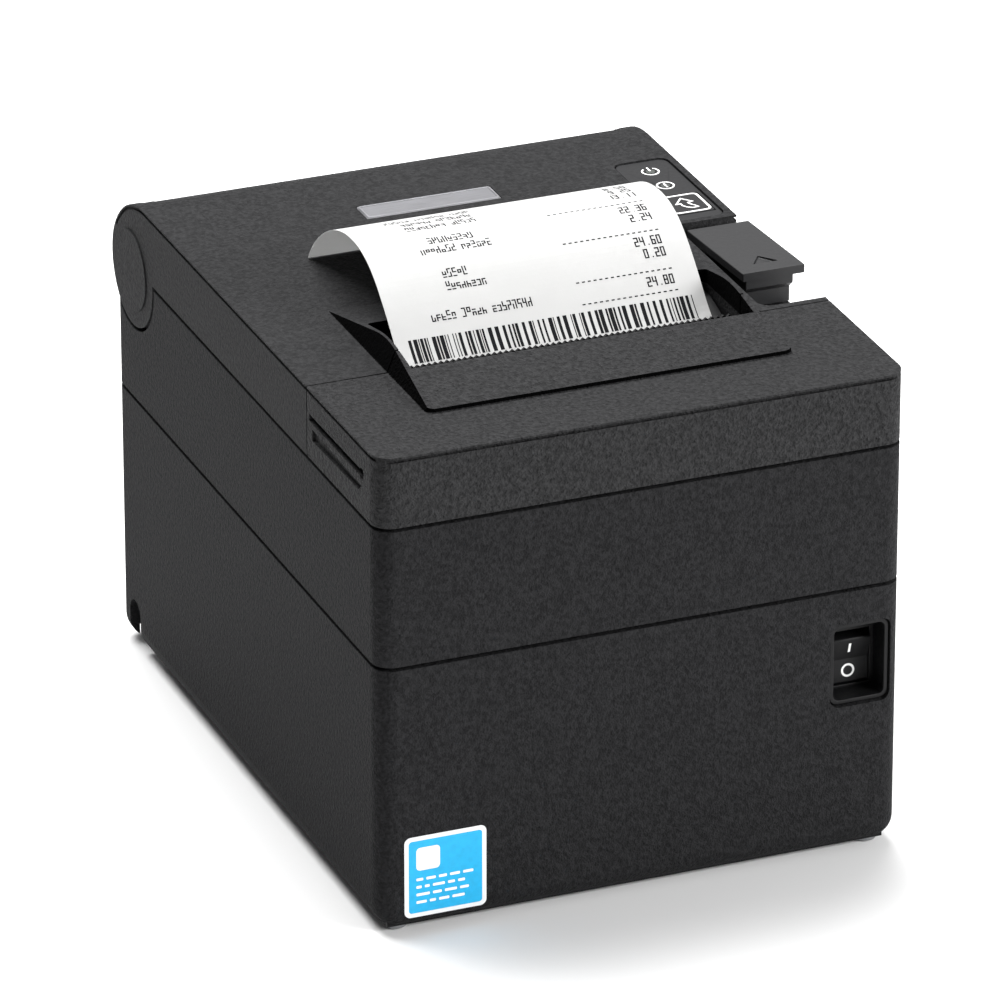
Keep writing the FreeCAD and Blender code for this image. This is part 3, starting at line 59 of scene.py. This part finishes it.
class Shader:
    """Builds one procedural material around a Principled shader."""

    def __init__(self, name, colour, roughness, metallic=0.0, specular=0.5):
        self.material = bpy.data.materials.new(name)
        self.material.use_nodes = True
        self.tree = self.material.node_tree
        self.principled = self.tree.nodes["Principled BSDF"]
        self.principled.inputs["Base Color"].default_value = (*colour, 1)
        self.principled.inputs["Roughness"].default_value = roughness
        self.principled.inputs["Metallic"].default_value = metallic
        self.principled.inputs["Specular IOR Level"].default_value = specular
        self.colour = colour
        self.roughness = roughness
        self.coordinates = self.node("ShaderNodeTexCoord").outputs["Object"]
        self.height = None

    def node(self, kind, **settings):
        made = self.tree.nodes.new(kind)
        for key, value in settings.items():
            setattr(made, key, value)
        return made

    def link(self, source, target):
        self.tree.links.new(source, target)

    def stretched(self, scale):
        mapping = self.node("ShaderNodeMapping")
        mapping.inputs["Scale"].default_value = scale
        self.link(self.coordinates, mapping.inputs["Vector"])
        return mapping.outputs["Vector"]

    def noise(self, scale, detail=2.0, stretch=None, roughness=0.5):
        texture = self.node("ShaderNodeTexNoise")
        texture.inputs["Scale"].default_value = scale
        texture.inputs["Detail"].default_value = detail
        texture.inputs["Roughness"].default_value = roughness
        self.link(self.stretched(stretch) if stretch else self.coordinates, texture.inputs["Vector"])
        return texture.outputs["Fac"]

    def cells(self, scale, feature="F1"):
        texture = self.node("ShaderNodeTexVoronoi", feature=feature)
        texture.inputs["Scale"].default_value = scale
        self.link(self.coordinates, texture.inputs["Vector"])
        return texture.outputs["Distance"]

    def ramp(self, factor, low, high, position=(0.3, 0.7)):
        ramp = self.node("ShaderNodeValToRGB")
        for element, where, value in zip(ramp.color_ramp.elements, position, (low, high)):
            element.position = where
            element.color = (*value, 1) if isinstance(value, tuple) else (value, value, value, 1)
        self.link(factor, ramp.inputs["Fac"])
        return ramp.outputs["Color"]

    def vary_colour(self, factor, amount, position=(0.3, 0.7)):
        dark = tuple(c * (1 - amount) for c in self.colour)
        light = tuple(min(c * (1 + amount), 1.0) for c in self.colour)
        self.link(self.ramp(factor, dark, light, position), self.principled.inputs["Base Color"])

    def vary_roughness(self, factor, amount, position=(0.3, 0.7)):
        low, high = max(self.roughness - amount, 0.03), min(self.roughness + amount, 1.0)
        self.link(self.ramp(factor, low, high, position), self.principled.inputs["Roughness"])

    def math(self, operation, first, second=None):
        node = self.node("ShaderNodeMath", operation=operation)
        for socket, value in zip(node.inputs, (first, second)):
            if isinstance(value, (int, float)):
                socket.default_value = value
            elif value is not None:
                self.link(value, socket)
        return node.outputs["Value"]

    def parts_of(self, vector):
        node = self.node("ShaderNodeSeparateXYZ")
        self.link(vector, node.inputs["Vector"])
        return node.outputs["X"], node.outputs["Y"], node.outputs["Z"]

    def paint(self, mask, colour):
        """Lays another colour over the base colour where the mask is 1."""
        base = self.principled.inputs["Base Color"]
        mix = self.node("ShaderNodeMix", data_type="RGBA")
        self.link(mask, mix.inputs["Factor"])
        self.link(base.links[0].from_socket, mix.inputs["A"])
        mix.inputs["B"].default_value = (*colour, 1)
        self.link(mix.outputs["Result"], base)

    def dull(self, mask):
        """Takes the gloss away where the mask is 1."""
        rough = self.principled.inputs["Roughness"]
        self.link(self.math("MAXIMUM", rough.links[0].from_socket, mask), rough)

    def bump(self, factor, depth, strength=1.0):
        """Adds a relief of the given depth in metres; reliefs stack."""
        bump = self.node("ShaderNodeBump")
        bump.inputs["Strength"].default_value = strength
        bump.inputs["Distance"].default_value = depth
        self.link(factor, bump.inputs["Height"])
        if self.height is not None:
            self.link(self.height, bump.inputs["Normal"])
        self.height = bump.outputs["Normal"]
        self.link(self.height, self.principled.inputs["Normal"])


def moulded(name, colour, roughness, grain_size, grain_depth, specular=0.45):
    """Leather-grained moulded plastic: short wavy ridges over a finer pebbling."""
    shader = Shader(name, colour, roughness, specular=specular)
    ridges = shader.noise(1 / grain_size, 2.5, roughness=0.6)
    shader.bump(ridges, grain_depth)
    shader.bump(shader.cells(2.2 / grain_size, "SMOOTH_F1"), grain_depth * 0.35)
    shader.vary_colour(ridges, 0.3, (0.36, 0.66))
    shader.vary_roughness(shader.noise(2.5 / grain_size, 2.0), 0.04)
    flank_shade_mask = black_flanks_and_painted_shade(shader)
    # Near black on the hood's flanks, and painted shade on the exit's inner walls and front step.
    shader.paint(flank_shade_mask, (0.0008, 0.0008, 0.0009))
    shader.dull(flank_shade_mask)
    return shader.material


def black_flanks_and_painted_shade(shader):
    """1 on the steep faces of the hood around the paper exit: its flanks, taken as black plastic, and the
    exit's inner walls and front step, where the black is painted shade.
    """
    facing = shader.node("ShaderNodeVectorTransform", vector_type="NORMAL",
                         convert_from="WORLD", convert_to="OBJECT")
    shader.link(shader.node("ShaderNodeNewGeometry").outputs["True Normal"], facing.inputs["Vector"])
    _, _, upward = shader.parts_of(facing.outputs["Vector"])
    _, _, height = shader.parts_of(shader.coordinates)
    steep = shader.math("LESS_THAN", shader.math("ABSOLUTE", upward), 0.6)
    above = shader.math("GREATER_THAN", height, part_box("base_case")[1][2] + HOOD_ABOVE_BASE)
    return shader.math("MULTIPLY", steep, above)


def satin(name, colour, roughness, specular=0.5, wear=0.05):
    """Smooth moulded plastic, very slightly uneven."""
    shader = Shader(name, colour, roughness, specular=specular)
    shader.bump(shader.noise(420, 3.0), 0.00002)
    shader.vary_colour(shader.noise(700, 3.0), 0.06)
    shader.vary_roughness(shader.noise(900, 3.0), wear)
    return shader.material


def metal(name, colour, roughness, direction=(1, 30, 30), scratch=0.00001):
    """Rolled or ground metal with a fine grain along one axis."""
    shader = Shader(name, colour, roughness, metallic=1.0)
    grain = shader.noise(140, 4.0, stretch=direction)
    shader.bump(grain, scratch)
    shader.vary_roughness(grain, 0.12)
    shader.vary_colour(shader.noise(45, 3.0), 0.03)
    return shader.material


def circuit_board():
    """Green solder mask over copper tracks."""
    shader = Shader("circuit_board", (0.012, 0.09, 0.035), 0.28)
    tracks = shader.node("ShaderNodeTexBrick")
    tracks.inputs["Scale"].default_value = 120
    tracks.inputs["Mortar Size"].default_value = 0.08
    shader.link(shader.coordinates, tracks.inputs["Vector"])
    mask = shader.noise(70, 2.0, stretch=(1, 3, 1))
    shader.vary_colour(mask, 0.5, (0.45, 0.55))
    shader.bump(tracks.outputs["Fac"], 0.00004)
    return shader.material


def paper(name, colour, roughness=0.62):
    """Smooth coated roll paper with faint fibres, thin enough to let light through."""
    shader = Shader(name, colour, roughness, specular=0.3)
    shader.principled.inputs["Subsurface Weight"].default_value = 0.5
    shader.principled.inputs["Subsurface Radius"].default_value = (1, 1, 1)
    shader.principled.inputs["Subsurface Scale"].default_value = 0.0006
    shader.bump(shader.noise(900, 4.0), 0.000012)
    shader.vary_colour(shader.noise(55, 3.0), 0.015)
    shader.vary_roughness(shader.noise(500, 3.0), 0.05)
    return shader.material


def card():
    shader = Shader("core_card", (0.36, 0.25, 0.15), 0.8)
    shader.bump(shader.noise(700, 4.0), 0.00004)
    shader.vary_colour(shader.noise(300, 4.0, stretch=(1, 1, 4)), 0.15)
    return shader.material


def rubber():
    shader = Shader("soft_rubber", (0.018, 0.018, 0.018), 0.75, specular=0.3)
    shader.bump(shader.noise(1500, 3.0), 0.00003)
    shader.vary_colour(shader.noise(200, 3.0), 0.2)
    return shader.material


MATERIALS = {
    "case_plastic": moulded("case_plastic", (0.0160, 0.0160, 0.0168), 0.62, 0.0010, 0.00050, 0.035),
    "lid_plastic": moulded("lid_plastic", (0.0225, 0.0225, 0.0233), 0.62, 0.0010, 0.00030, 0.035),
    "inner_plastic": satin("inner_plastic", (0.0045, 0.0045, 0.005), 0.5, 0.2),
    "lever_plastic": satin("lever_plastic", (0.015, 0.015, 0.016), 0.48, 0.3),
    "panel_film": satin("panel_film", (0.014, 0.014, 0.015), 0.42, 0.2),
    "light_pipe": satin("light_pipe", (0.05, 0.055, 0.05), 0.25),
    "label_stock": paper("label_stock", (0.82, 0.84, 0.85), 0.4),
    "steel": metal("steel", (0.30, 0.305, 0.315), 0.42),
    "blade_steel": metal("blade_steel", (0.68, 0.69, 0.71), 0.22, (30, 1, 30)),
    "socket_steel": metal("socket_steel", (0.40, 0.40, 0.41), 0.3),
    "aluminium": metal("aluminium", (0.30, 0.30, 0.315), 0.42),
    "head_ceramic": satin("head_ceramic", (0.7, 0.67, 0.58), 0.2),
    "soft_rubber": rubber(),
    "gear_plastic": satin("gear_plastic", (0.7, 0.69, 0.63), 0.42),
    "brass": metal("brass", (0.72, 0.52, 0.2), 0.3),
    "circuit_board": circuit_board(),
    "chip_plastic": satin("chip_plastic", (0.012, 0.012, 0.013), 0.5),
    "thermal_paper": paper("thermal_paper", (0.45, 0.45, 0.445)),
    "core_card": card(),
}
# Nodes whose surface differs from the rest of their slot.
FINISHES = {
    "front_cover": moulded("cover_plastic", (0.0250, 0.0250, 0.0258), 0.6, 0.0011, 0.00075, 0.035),
    "nameplate": metal("name_plate", (0.20, 0.20, 0.21), 0.5),
}
INK = satin("print_ink", (0.004, 0.004, 0.005), 0.7, 0.1)
WHITE_INK = satin("white_ink", (0.78, 0.78, 0.77), 0.45)
LABEL_INK = satin("label_ink", (0.005, 0.36, 0.66), 0.4)

# Widths of the broken edges in metres, where they aren't the usual quarter millimetre.
BEVELS = {"open_lever": 0.0006, "power_rocker": 0.0004}
SLOT_OF = {part["node"]: part["material_slot"] for part in frame["record"]["subparts"]}


# Mesh helpers --------------------------------------------------------------------

def dress(node, bevel=0.00025, segments=2, angle=35):
    """Gives a CAD node its material and breaks its hard edges."""
    piece = NODES[node]
    piece.data.materials.clear()
    piece.data.materials.append(FINISHES.get(node, MATERIALS[SLOT_OF[node]]))
    weld = piece.modifiers.new("weld", "WELD")
    weld.merge_threshold = 0.000005
    if bevel:
        edge = piece.modifiers.new("edges", "BEVEL")
        edge.width = bevel
        edge.segments = segments
        edge.limit_method = "ANGLE"
        edge.angle_limit = math.radians(angle)
        edge.harden_normals = True


class Plane:
    """A flat working plane in millimetres, with its own right, up and outward directions."""

    def __init__(self, origin, right, up):
        self.origin, self.right, self.up = Vector(origin), Vector(right), Vector(up)
        self.out = self.right.cross(self.up)

    def at(self, u, v, w=0.0):
        return (self.origin + self.right * u + self.up * v + self.out * w) * MM


def corners_mm(node):
    low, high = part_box(node)
    return Vector(low) / MM, Vector(high) / MM


def lid_plane(height):
    return Plane((0, 0, height), (1, 0, 0), (0, 1, 0))


def front_plane(depth):
    return Plane((0, depth, 0), (1, 0, 0), (0, 0, 1))


def rounded_outline(x_low, x_high, y_low, y_high, radius, steps=6):
    centres = ((x_high - radius, y_high - radius), (x_low + radius, y_high - radius),
               (x_low + radius, y_low + radius), (x_high - radius, y_low + radius))
    points = []
    for turn, (x, y) in enumerate(centres):
        for step in range(steps + 1):
            angle = math.radians(90 * (turn + step / steps))
            points.append((x + radius * math.cos(angle), y + radius * math.sin(angle)))
    return points


def arc(x, y, radius, start, end, steps=32):
    angles = [math.radians(start + (end - start) * step / steps) for step in range(steps + 1)]
    return [(x + radius * math.cos(angle), y + radius * math.sin(angle)) for angle in angles]


def slab(form, plane, outline, low, high):
    """A plate with a flat outline, between two heights over the plane."""
    top = [form.verts.new(plane.at(u, v, high)) for u, v in outline]
    bottom = [form.verts.new(plane.at(u, v, low)) for u, v in outline]
    form.faces.new(top)
    form.faces.new(bottom[::-1])
    for i in range(len(outline)):
        j = (i + 1) % len(outline)
        form.faces.new((bottom[i], bottom[j], top[j], top[i]))


def stroke(form, plane, points, width, low, high, closed=False):
    """A band of even width along a line of points, between two heights over the plane."""
    sides = ([], [])
    count = len(points)
    for i, point in enumerate(points):
        before = points[i - 1] if closed or i else point
        after = points[(i + 1) % count] if closed or i < count - 1 else point
        legs = [Vector(end) - Vector(start) for start, end in ((before, point), (point, after))]
        legs = [leg.normalized() for leg in legs if leg.length > 1e-9]
        run = sum(legs, Vector((0, 0))).normalized()
        reach = min(width / 2 / max(run.dot(legs[0]), 0.3), width)
        for side, sign in zip(sides, (1, -1)):
            u, v = point[0] - sign * run.y * reach, point[1] + sign * run.x * reach
            side.append([form.verts.new(plane.at(u, v, w)) for w in (low, high)])
    left, right = sides
    for i in range(count if closed else count - 1):
        j = (i + 1) % count
        form.faces.new((left[i][1], right[i][1], right[j][1], left[j][1]))
        form.faces.new((left[i][0], left[j][0], right[j][0], right[i][0]))
        form.faces.new((left[i][0], left[i][1], left[j][1], left[j][0]))
        form.faces.new((right[i][0], right[j][0], right[j][1], right[i][1]))
    if not closed:
        for i in (0, count - 1):
            form.faces.new((left[i][0], right[i][0], right[i][1], left[i][1]))


def make_piece(name, form, body, slot, material=None, bevel=0.0):
    bmesh.ops.recalc_face_normals(form, faces=form.faces)
    mesh = bpy.data.meshes.new(name)
    form.to_mesh(mesh)
    form.free()
    piece = bpy.data.objects.new(name, mesh)
    bpy.context.scene.collection.objects.link(piece)
    mesh.materials.append(material or MATERIALS[slot])
    if bevel:
        edge = piece.modifiers.new("edges", "BEVEL")
        edge.width = bevel
        edge.segments = 3
        edge.limit_method = "ANGLE"
        edge.harden_normals = True
    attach(piece, body)


# Receipt ---------------------------------------------------------------------------

PRINT_LIFT = 0.03
STATION_GAP = 0.3


def printed_side():
    """Points (y, z) in mm along the receipt's outer side, from the slot to the free end."""
    mesh = NODES["receipt"].data
    edge_x = max(vertex.co.x for vertex in mesh.vertices)
    rim = sorted({(round(vertex.co.y / MM, 3), round(vertex.co.z / MM, 3))
                  for vertex in mesh.vertices if edge_x - vertex.co.x < 1e-6})
    rim = [Vector(point) for point in rim]
    # Each station of the ribbon holds two rim points, a paper's thickness apart.
    line = [min(rim, key=lambda point: point.y)]
    left = [point for point in rim if point is not line[0]]
    while left:
        nearest = min(left, key=lambda point: (point - line[-1]).length)
        left.remove(nearest)
        if (nearest - line[-1]).length > STATION_GAP:
            line.append(nearest)
    outer = []
    for i, point in enumerate(line):
        run = line[min(i + 1, len(line) - 1)] - line[max(i - 1, 0)]
        outward = Vector((-run.y, run.x))
        outer.append(max((other for other in rim if (other - point).length < STATION_GAP), key=outward.dot))
    return outer


class Ribbon:
    """Maps (x across, s along the paper) in mm to a place just over the printed side."""

    def __init__(self, points):
        self.points = points
        self.along = [0.0]
        for start, end in zip(points, points[1:]):
            self.along.append(self.along[-1] + (end - start).length)

    def at(self, x, distance, lift=PRINT_LIFT):
        i = max(k for k in range(len(self.along) - 1) if self.along[k] <= max(distance, 0))
        start, end = self.points[i], self.points[i + 1]
        run = (end - start).normalized()
        place = start + run * (distance - self.along[i])
        # The printed side faces forward and up, to the left of the way the paper leaves.
        return Vector((x, place.x - run.y * lift, place.y + run.x * lift)) * MM

    def patch(self, form, x_low, x_high, s_low, s_high):
        steps = max(1, math.ceil((s_high - s_low) / 1.2))
        rows = [[form.verts.new(self.at(x, s_low + (s_high - s_low) * k / steps)) for x in (x_low, x_high)]
                for k in range(steps + 1)]
        for low, high in zip(rows, rows[1:]):
            form.faces.new((low[0], low[1], high[1], high[0]))


# Stage -----------------------------------------------------------------------------

def make_stage():
    bpy.ops.mesh.primitive_plane_add(size=12, location=(0, 0, 0))
    floor = bpy.context.object
    floor.name = "floor"
    shader = Shader("floor_paper", (0.80, 0.80, 0.80), 0.8, specular=0.1)
    shader.bump(shader.noise(800, 2.0), 0.00002)
    floor.data.materials.append(shader.material)

    world = bpy.data.worlds.new("soft_room")
    bpy.context.scene.world = world
    world.use_nodes = True
    tree = world.node_tree
    background = tree.nodes["Background"]
    # The room is dimmer on the printer's left, as beside a dark studio wall.
    direction = tree.nodes.new("ShaderNodeTexCoord")
    across = tree.nodes.new("ShaderNodeSeparateXYZ")
    shade = tree.nodes.new("ShaderNodeMapRange")
    tree.links.new(direction.outputs["Generated"], across.inputs["Vector"])
    tree.links.new(across.outputs["X"], shade.inputs["Value"])
    shade.inputs["From Min"].default_value = -0.75
    shade.inputs["From Max"].default_value = 0.4
    shade.inputs["To Min"].default_value = 0.1
    tree.links.new(shade.outputs["Result"], background.inputs["Color"])
    background.inputs["Strength"].default_value = 0.66

    bpy.context.scene.view_settings.view_transform = "Standard"

    def panel(name, place, target, width, height, power):
        light = bpy.data.objects.new(name, bpy.data.lights.new(name, "AREA"))
        light.data.shape = "RECTANGLE"
        light.data.size = width
        light.data.size_y = height
        light.data.energy = power
        light.location = place
        light.rotation_euler = (Vector(target) - Vector(place)).to_track_quat("-Z", "Y").to_euler()
        bpy.context.scene.collection.objects.link(light)

    centre = (0, 0, 0.06)
    panel("top_panel", (-0.1, 0.45, 1.3), centre, 1.1, 0.7, 40)
    panel("front_panel", (0.8, -0.9, 0.55), centre, 0.45, 0.45, 18)


def make_camera():
    camera = bpy.data.objects.new("camera", bpy.data.cameras.new("camera"))
    bpy.context.scene.collection.objects.link(camera)
    bpy.context.scene.camera = camera
    camera.location = (-0.7243, -1.7962, 0.9667)
    aim = Vector((0.0, 0.0, 0.064))
    camera.rotation_euler = (aim - camera.location).to_track_quat("-Z", "Y").to_euler()
    camera.data.lens = 315
    camera.data.sensor_width = 36
    camera.data.clip_end = 30


# Print on the receipt -----------------------------------------------------------------

BAR_WIDTHS = (0.25, 0.5, 0.75, 1.0)
# The seven strokes of a figure, as (x, y) ends in a cell one wide and two high.
STROKES = (((0, 2), (1, 2)), ((1, 2), (1, 1)), ((1, 1), (1, 0)), ((1, 0), (0, 0)),
           ((0, 0), (0, 1)), ((0, 1), (0, 2)), ((0, 1), (1, 1)))
# Which strokes make each of the figures 0 to 9.
FIGURES = ("012345", "12", "01643", "01236", "5612", "05623", "054326", "012", "0123456", "012356")


def print_sign(form, ribbon, x, s, strokes, width=0.8, height=1.1, weight=0.34):
    """Prints one sign made of straight strokes with its lower left corner at (x, s)."""
    half = weight / 2
    for (x1, y1), (x2, y2) in strokes:
        low_x, high_x = x + min(x1, x2) * width - half, x + max(x1, x2) * width + half
        low_s, high_s = s + min(y1, y2) * height - half, s + max(y1, y2) * height + half
        ribbon.patch(form, low_x, high_x, low_s, high_s)


def print_number(form, ribbon, right, s, text):
    """Prints a price so that it ends at the right margin."""
    pitch = 1.45
    for place, character in enumerate(reversed(text)):
        x = right - (place + 1) * pitch
        if character == ".":
            ribbon.patch(form, x + 0.35, x + 0.65, s - 0.12, s + 0.2)
        else:
            print_sign(form, ribbon, x, s, [STROKES[int(k)] for k in FIGURES[int(character)]])


def print_words(form, ribbon, chance, left, s, lengths):
    """Prints made-up words of meaningless signs."""
    pitch = 1.3
    x = left
    for length in lengths:
        for _ in range(length):
            strokes = chance.sample(STROKES, 4)
            height = chance.choice((0.7, 0.7, 1.05))
            print_sign(form, ribbon, x, s, strokes, width=0.7, height=height, weight=0.32)
            x += pitch
        x += pitch


def print_dashes(form, ribbon, left, right, s):
    dash, weight, pitch = 0.8, 0.32, 1.5
    x = left
    while x < right:
        ribbon.patch(form, x, x + dash, s, s + weight)
        x += pitch


def print_bars(form, ribbon, chance, left, right, s_low, s_high):
    """Prints a row of bars that encodes nothing."""
    x = left
    while x < right:
        bar = chance.choice(BAR_WIDTHS)
        ribbon.patch(form, x, x + bar, s_low, s_high)
        x += bar + chance.choice(BAR_WIDTHS)


def make_receipt_print():
    ribbon = Ribbon(printed_side())
    form = bmesh.new()
    chance = random.Random(7)
    half = corners_mm("receipt")[1].x
    margin, bars_margin, dashes_length = 6, 3.5, 25
    left, right = margin - half, half - margin
    print_bars(form, ribbon, chance, bars_margin - half, half - bars_margin, 5.2, 11.4)
    # Distance along the paper, lengths of the words, price, and whether dashes follow.
    lines = ((15.2, (5, 5, 8), "24.80", True), (22.6, (8,), "0.20", False), (26.0, (5,), "24.60", True),
             (33.2, (7, 6), "2.24", False), (36.6, (9,), "22.36", True),
             (43.4, (8, 5), "13.11", False), (46.8, (6, 7), "9.25", False), (50.2, (5, 6, 4), "8.50", False))
    for s, words, price, dashed in lines:
        print_words(form, ribbon, chance, left + 14 - len(words) * 3, s, words)
        print_number(form, ribbon, right, s, price)
        if dashed:
            print_dashes(form, ribbon, right - dashes_length, right, s + 3.6)
    print_dashes(form, ribbon, right - dashes_length, right, 13.1)
    make_piece("receipt_print", form, "lid", "thermal_paper", INK)


# Panel, lever and switch marks ------------------------------------------------------

ICON_LOW, ICON_HIGH = -0.05, 0.05


def make_feed_icon():
    """White frame and outlined feed arrow on the button's cap."""
    cap_top = corners_mm("feed_button")[1].z
    panel_low, panel_high = corners_mm("button_panel")
    plane = lid_plane(cap_top)
    x, y = (panel_low.x + panel_high.x) / 2 + 0.4, 23.0
    half_wide, half_long, corner = 4.9, 5.2, 1.3
    border_line, arrow_line = 0.62, 0.45
    form = bmesh.new()
    border = rounded_outline(x - half_wide, x + half_wide, y - half_long, y + half_long, corner)
    stroke(form, plane, border, border_line, ICON_LOW, ICON_HIGH, True)
    arrow = [(2.3, -2.9), (0.9, -3.1), (-0.5, -2.2), (-1.1, -1.1), (-1.1, 0.1), (-2.3, 0.1), (0.1, 3.2),
             (2.2, 0.7), (0.9, 0.3), (1.1, -0.8), (1.9, -1.9)]
    stroke(form, plane, [(x + u, y + v) for u, v in arrow], arrow_line, ICON_LOW, ICON_HIGH, True)
    make_piece("feed_icon", form, "button", "panel_film", WHITE_INK)


def make_lamp_icons():
    """Rings round the two lamps, one with an exclamation mark and one with the power sign."""
    form = bmesh.new()
    low, high = corners_mm("light_pipes")
    plane = lid_plane(high.z)
    radius = 2.1
    x = (low.x + high.x) / 2
    error_y, power_y = low.y + 1.2, high.y - 1.2
    stroke(form, plane, arc(x, error_y, radius, 0, 348, 40), 0.42, ICON_LOW, ICON_HIGH, True)
    stroke(form, plane, [(x, error_y - 0.3), (x, error_y + 1.1)], 0.5, 0, 2 * ICON_HIGH)
    stroke(form, plane, [(x, error_y - 1.2), (x, error_y - 0.75)], 0.5, 0, 2 * ICON_HIGH)
    stroke(form, plane, arc(x, power_y, radius, 125, 415, 40), 0.42, ICON_LOW, ICON_HIGH)
    stroke(form, plane, [(x, power_y + 0.2), (x, power_y + 2.5)], 0.42, 0, 2 * ICON_HIGH)
    make_piece("lamp_icons", form, "lid", "panel_film", WHITE_INK)


def follow_surface(form, node, plane, outline, lift=0.04):
    """Lays a flat shape onto the first surface of a node behind the plane."""
    mesh = NODES[node].data
    tree = BVHTree.FromPolygons([vertex.co for vertex in mesh.vertices],
                                [tuple(face.vertices) for face in mesh.polygons])
    verts = []
    for u, v in outline:
        hit = tree.ray_cast(plane.at(u, v, 3), -plane.out)[0]
        verts.append(form.verts.new(hit + plane.out * lift * MM))
    return verts


def make_rocker_marks():
    """The on and off signs on the rocker's two faces."""
    low, high = corners_mm("power_rocker")
    plane = front_plane(low.y)
    x = (low.x + high.x) / 2
    on_z, off_z = low.z + (high.z - low.z) * 0.76, low.z + (high.z - low.z) * 0.26
    half_wide, half_tall = 0.3, 1.3
    bar = [(x - half_wide, on_z - half_tall), (x + half_wide, on_z - half_tall),
           (x + half_wide, on_z + half_tall), (x - half_wide, on_z + half_tall)]
    form = bmesh.new()
    form.faces.new(follow_surface(form, "power_rocker", plane, bar))
    points = 24
    rings = [follow_surface(form, "power_rocker", plane, arc(x, off_z, radius, 0, 345, points - 1))
             for radius in (1.75, 1.2)]
    for i in range(points):
        j = (i + 1) % points
        form.faces.new((rings[0][i], rings[0][j], rings[1][j], rings[1][i]))
    make_piece("rocker_marks", form, "rocker", "inner_plastic", WHITE_INK)


# Label and name plate ------------------------------------------------------------------

def make_label_print():
    """A coloured field with white rows of meaningless blocks on the front label."""
    low, high = corners_mm("front_label")
    plane = front_plane(low.y)
    edge, radius = 1.1, 0.8
    field_outline = rounded_outline(low.x + edge, high.x - edge, low.z + edge, high.z - edge, radius)
    field = bmesh.new()
    slab(field, plane, field_outline, -0.02, 0.02)
    make_piece("label_field", field, "case", "label_stock", LABEL_INK)
    chance = random.Random(3)
    ink_top, margin, block_end = 0.04, 3.0, 9.0
    row_height, row_pitch, gap = 0.7, 2.0, 0.8
    block = rounded_outline(low.x + margin, low.x + block_end, high.z - block_end, high.z - margin, 1.0)
    rows = bmesh.new()
    slab(rows, plane, block, 0, ink_top)
    row = high.z - 11.0
    while row > low.z + margin:
        x = low.x + margin
        while x < high.x - 5.0:
            length = chance.uniform(1.2, 3.4)
            slab(rows, plane, rounded_outline(x, x + length, row - row_height, row, 0.2, 3), 0, ink_top)
            x += length + gap
        row -= row_pitch
    make_piece("label_rows", rows, "case", "label_stock", WHITE_INK)


def make_plate_rim():
    """A raised rim round the blank name plate."""
    low, high = corners_mm("nameplate")
    inset, corner, rim_width = 0.45, 0.6, 0.5
    outline = rounded_outline(low.x + inset, high.x - inset, low.y + inset, high.y - inset, corner)
    form = bmesh.new()
    stroke(form, lid_plane(high.z), outline, rim_width, -0.1, 0.15, True)
    make_piece("plate_rim", form, "lid", "aluminium", bevel=0.00006)


# Button spring ---------------------------------------------------------------------------

def squash_button_spring():
    """Gives the spring under the feed button its own copy of its mesh; it is not shortened."""
    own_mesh(NODES["button_spring"])


# Tear edge and painted shadow line -------------------------------------------------------

def make_tear_edge_and_painted_shadow():
    """Saw teeth along the cutter cover, raised and black so they also act as a painted shadow line under the
    receipt, and the ribbed band in front of them.
    """
    top = corners_mm("cutter_unit")[1].z
    half, pitch, front = 43.0, 1.5, -41.6
    # The teeth stand above the cutter cover so that their black shows as a painted shadow line between the
    # receipt and the exit's front edge.
    foot, valley, tip = top - 1.4, top + 1.5, top + 2.1
    teeth = int(2 * half / pitch)
    outline = [(-half, foot), (half, foot)]
    for tooth in range(teeth, 0, -1):
        x = -half + tooth * 2 * half / teeth
        outline += [(x, valley), (x - half / teeth, tip)]
    outline.append((-half, valley))
    form = bmesh.new()
    slab(form, front_plane(front), outline, -0.4, 0.35)
    make_piece("tear_teeth_and_painted_shadow", form, "case", "inner_plastic")

    rib_pitch, rib_width, rib_front, rib_back = 1.1, 0.6, -43.2, -42.1
    rib_base, rib_height = 119.2, 0.7
    form = bmesh.new()
    for k in range(int(2 * half / rib_pitch)):
        x = -half + 0.4 + rib_pitch * k
        rib = rounded_outline(x, x + rib_width, rib_front, rib_back, 0.2, 2)
        slab(form, lid_plane(rib_base), rib, 0, rib_height)
    make_piece("cutter_ribs", form, "case", "inner_plastic")


for node in NODES:
    dress(node, bevel=BEVELS.get(node, 0.0 if SLOT_OF[node] == "thermal_paper" else 0.00025))
make_receipt_print()
make_feed_icon()
make_lamp_icons()
make_rocker_marks()
make_label_print()
make_plate_rim()
make_tear_edge_and_painted_shadow()
squash_button_spring()
make_stage()
make_camera()
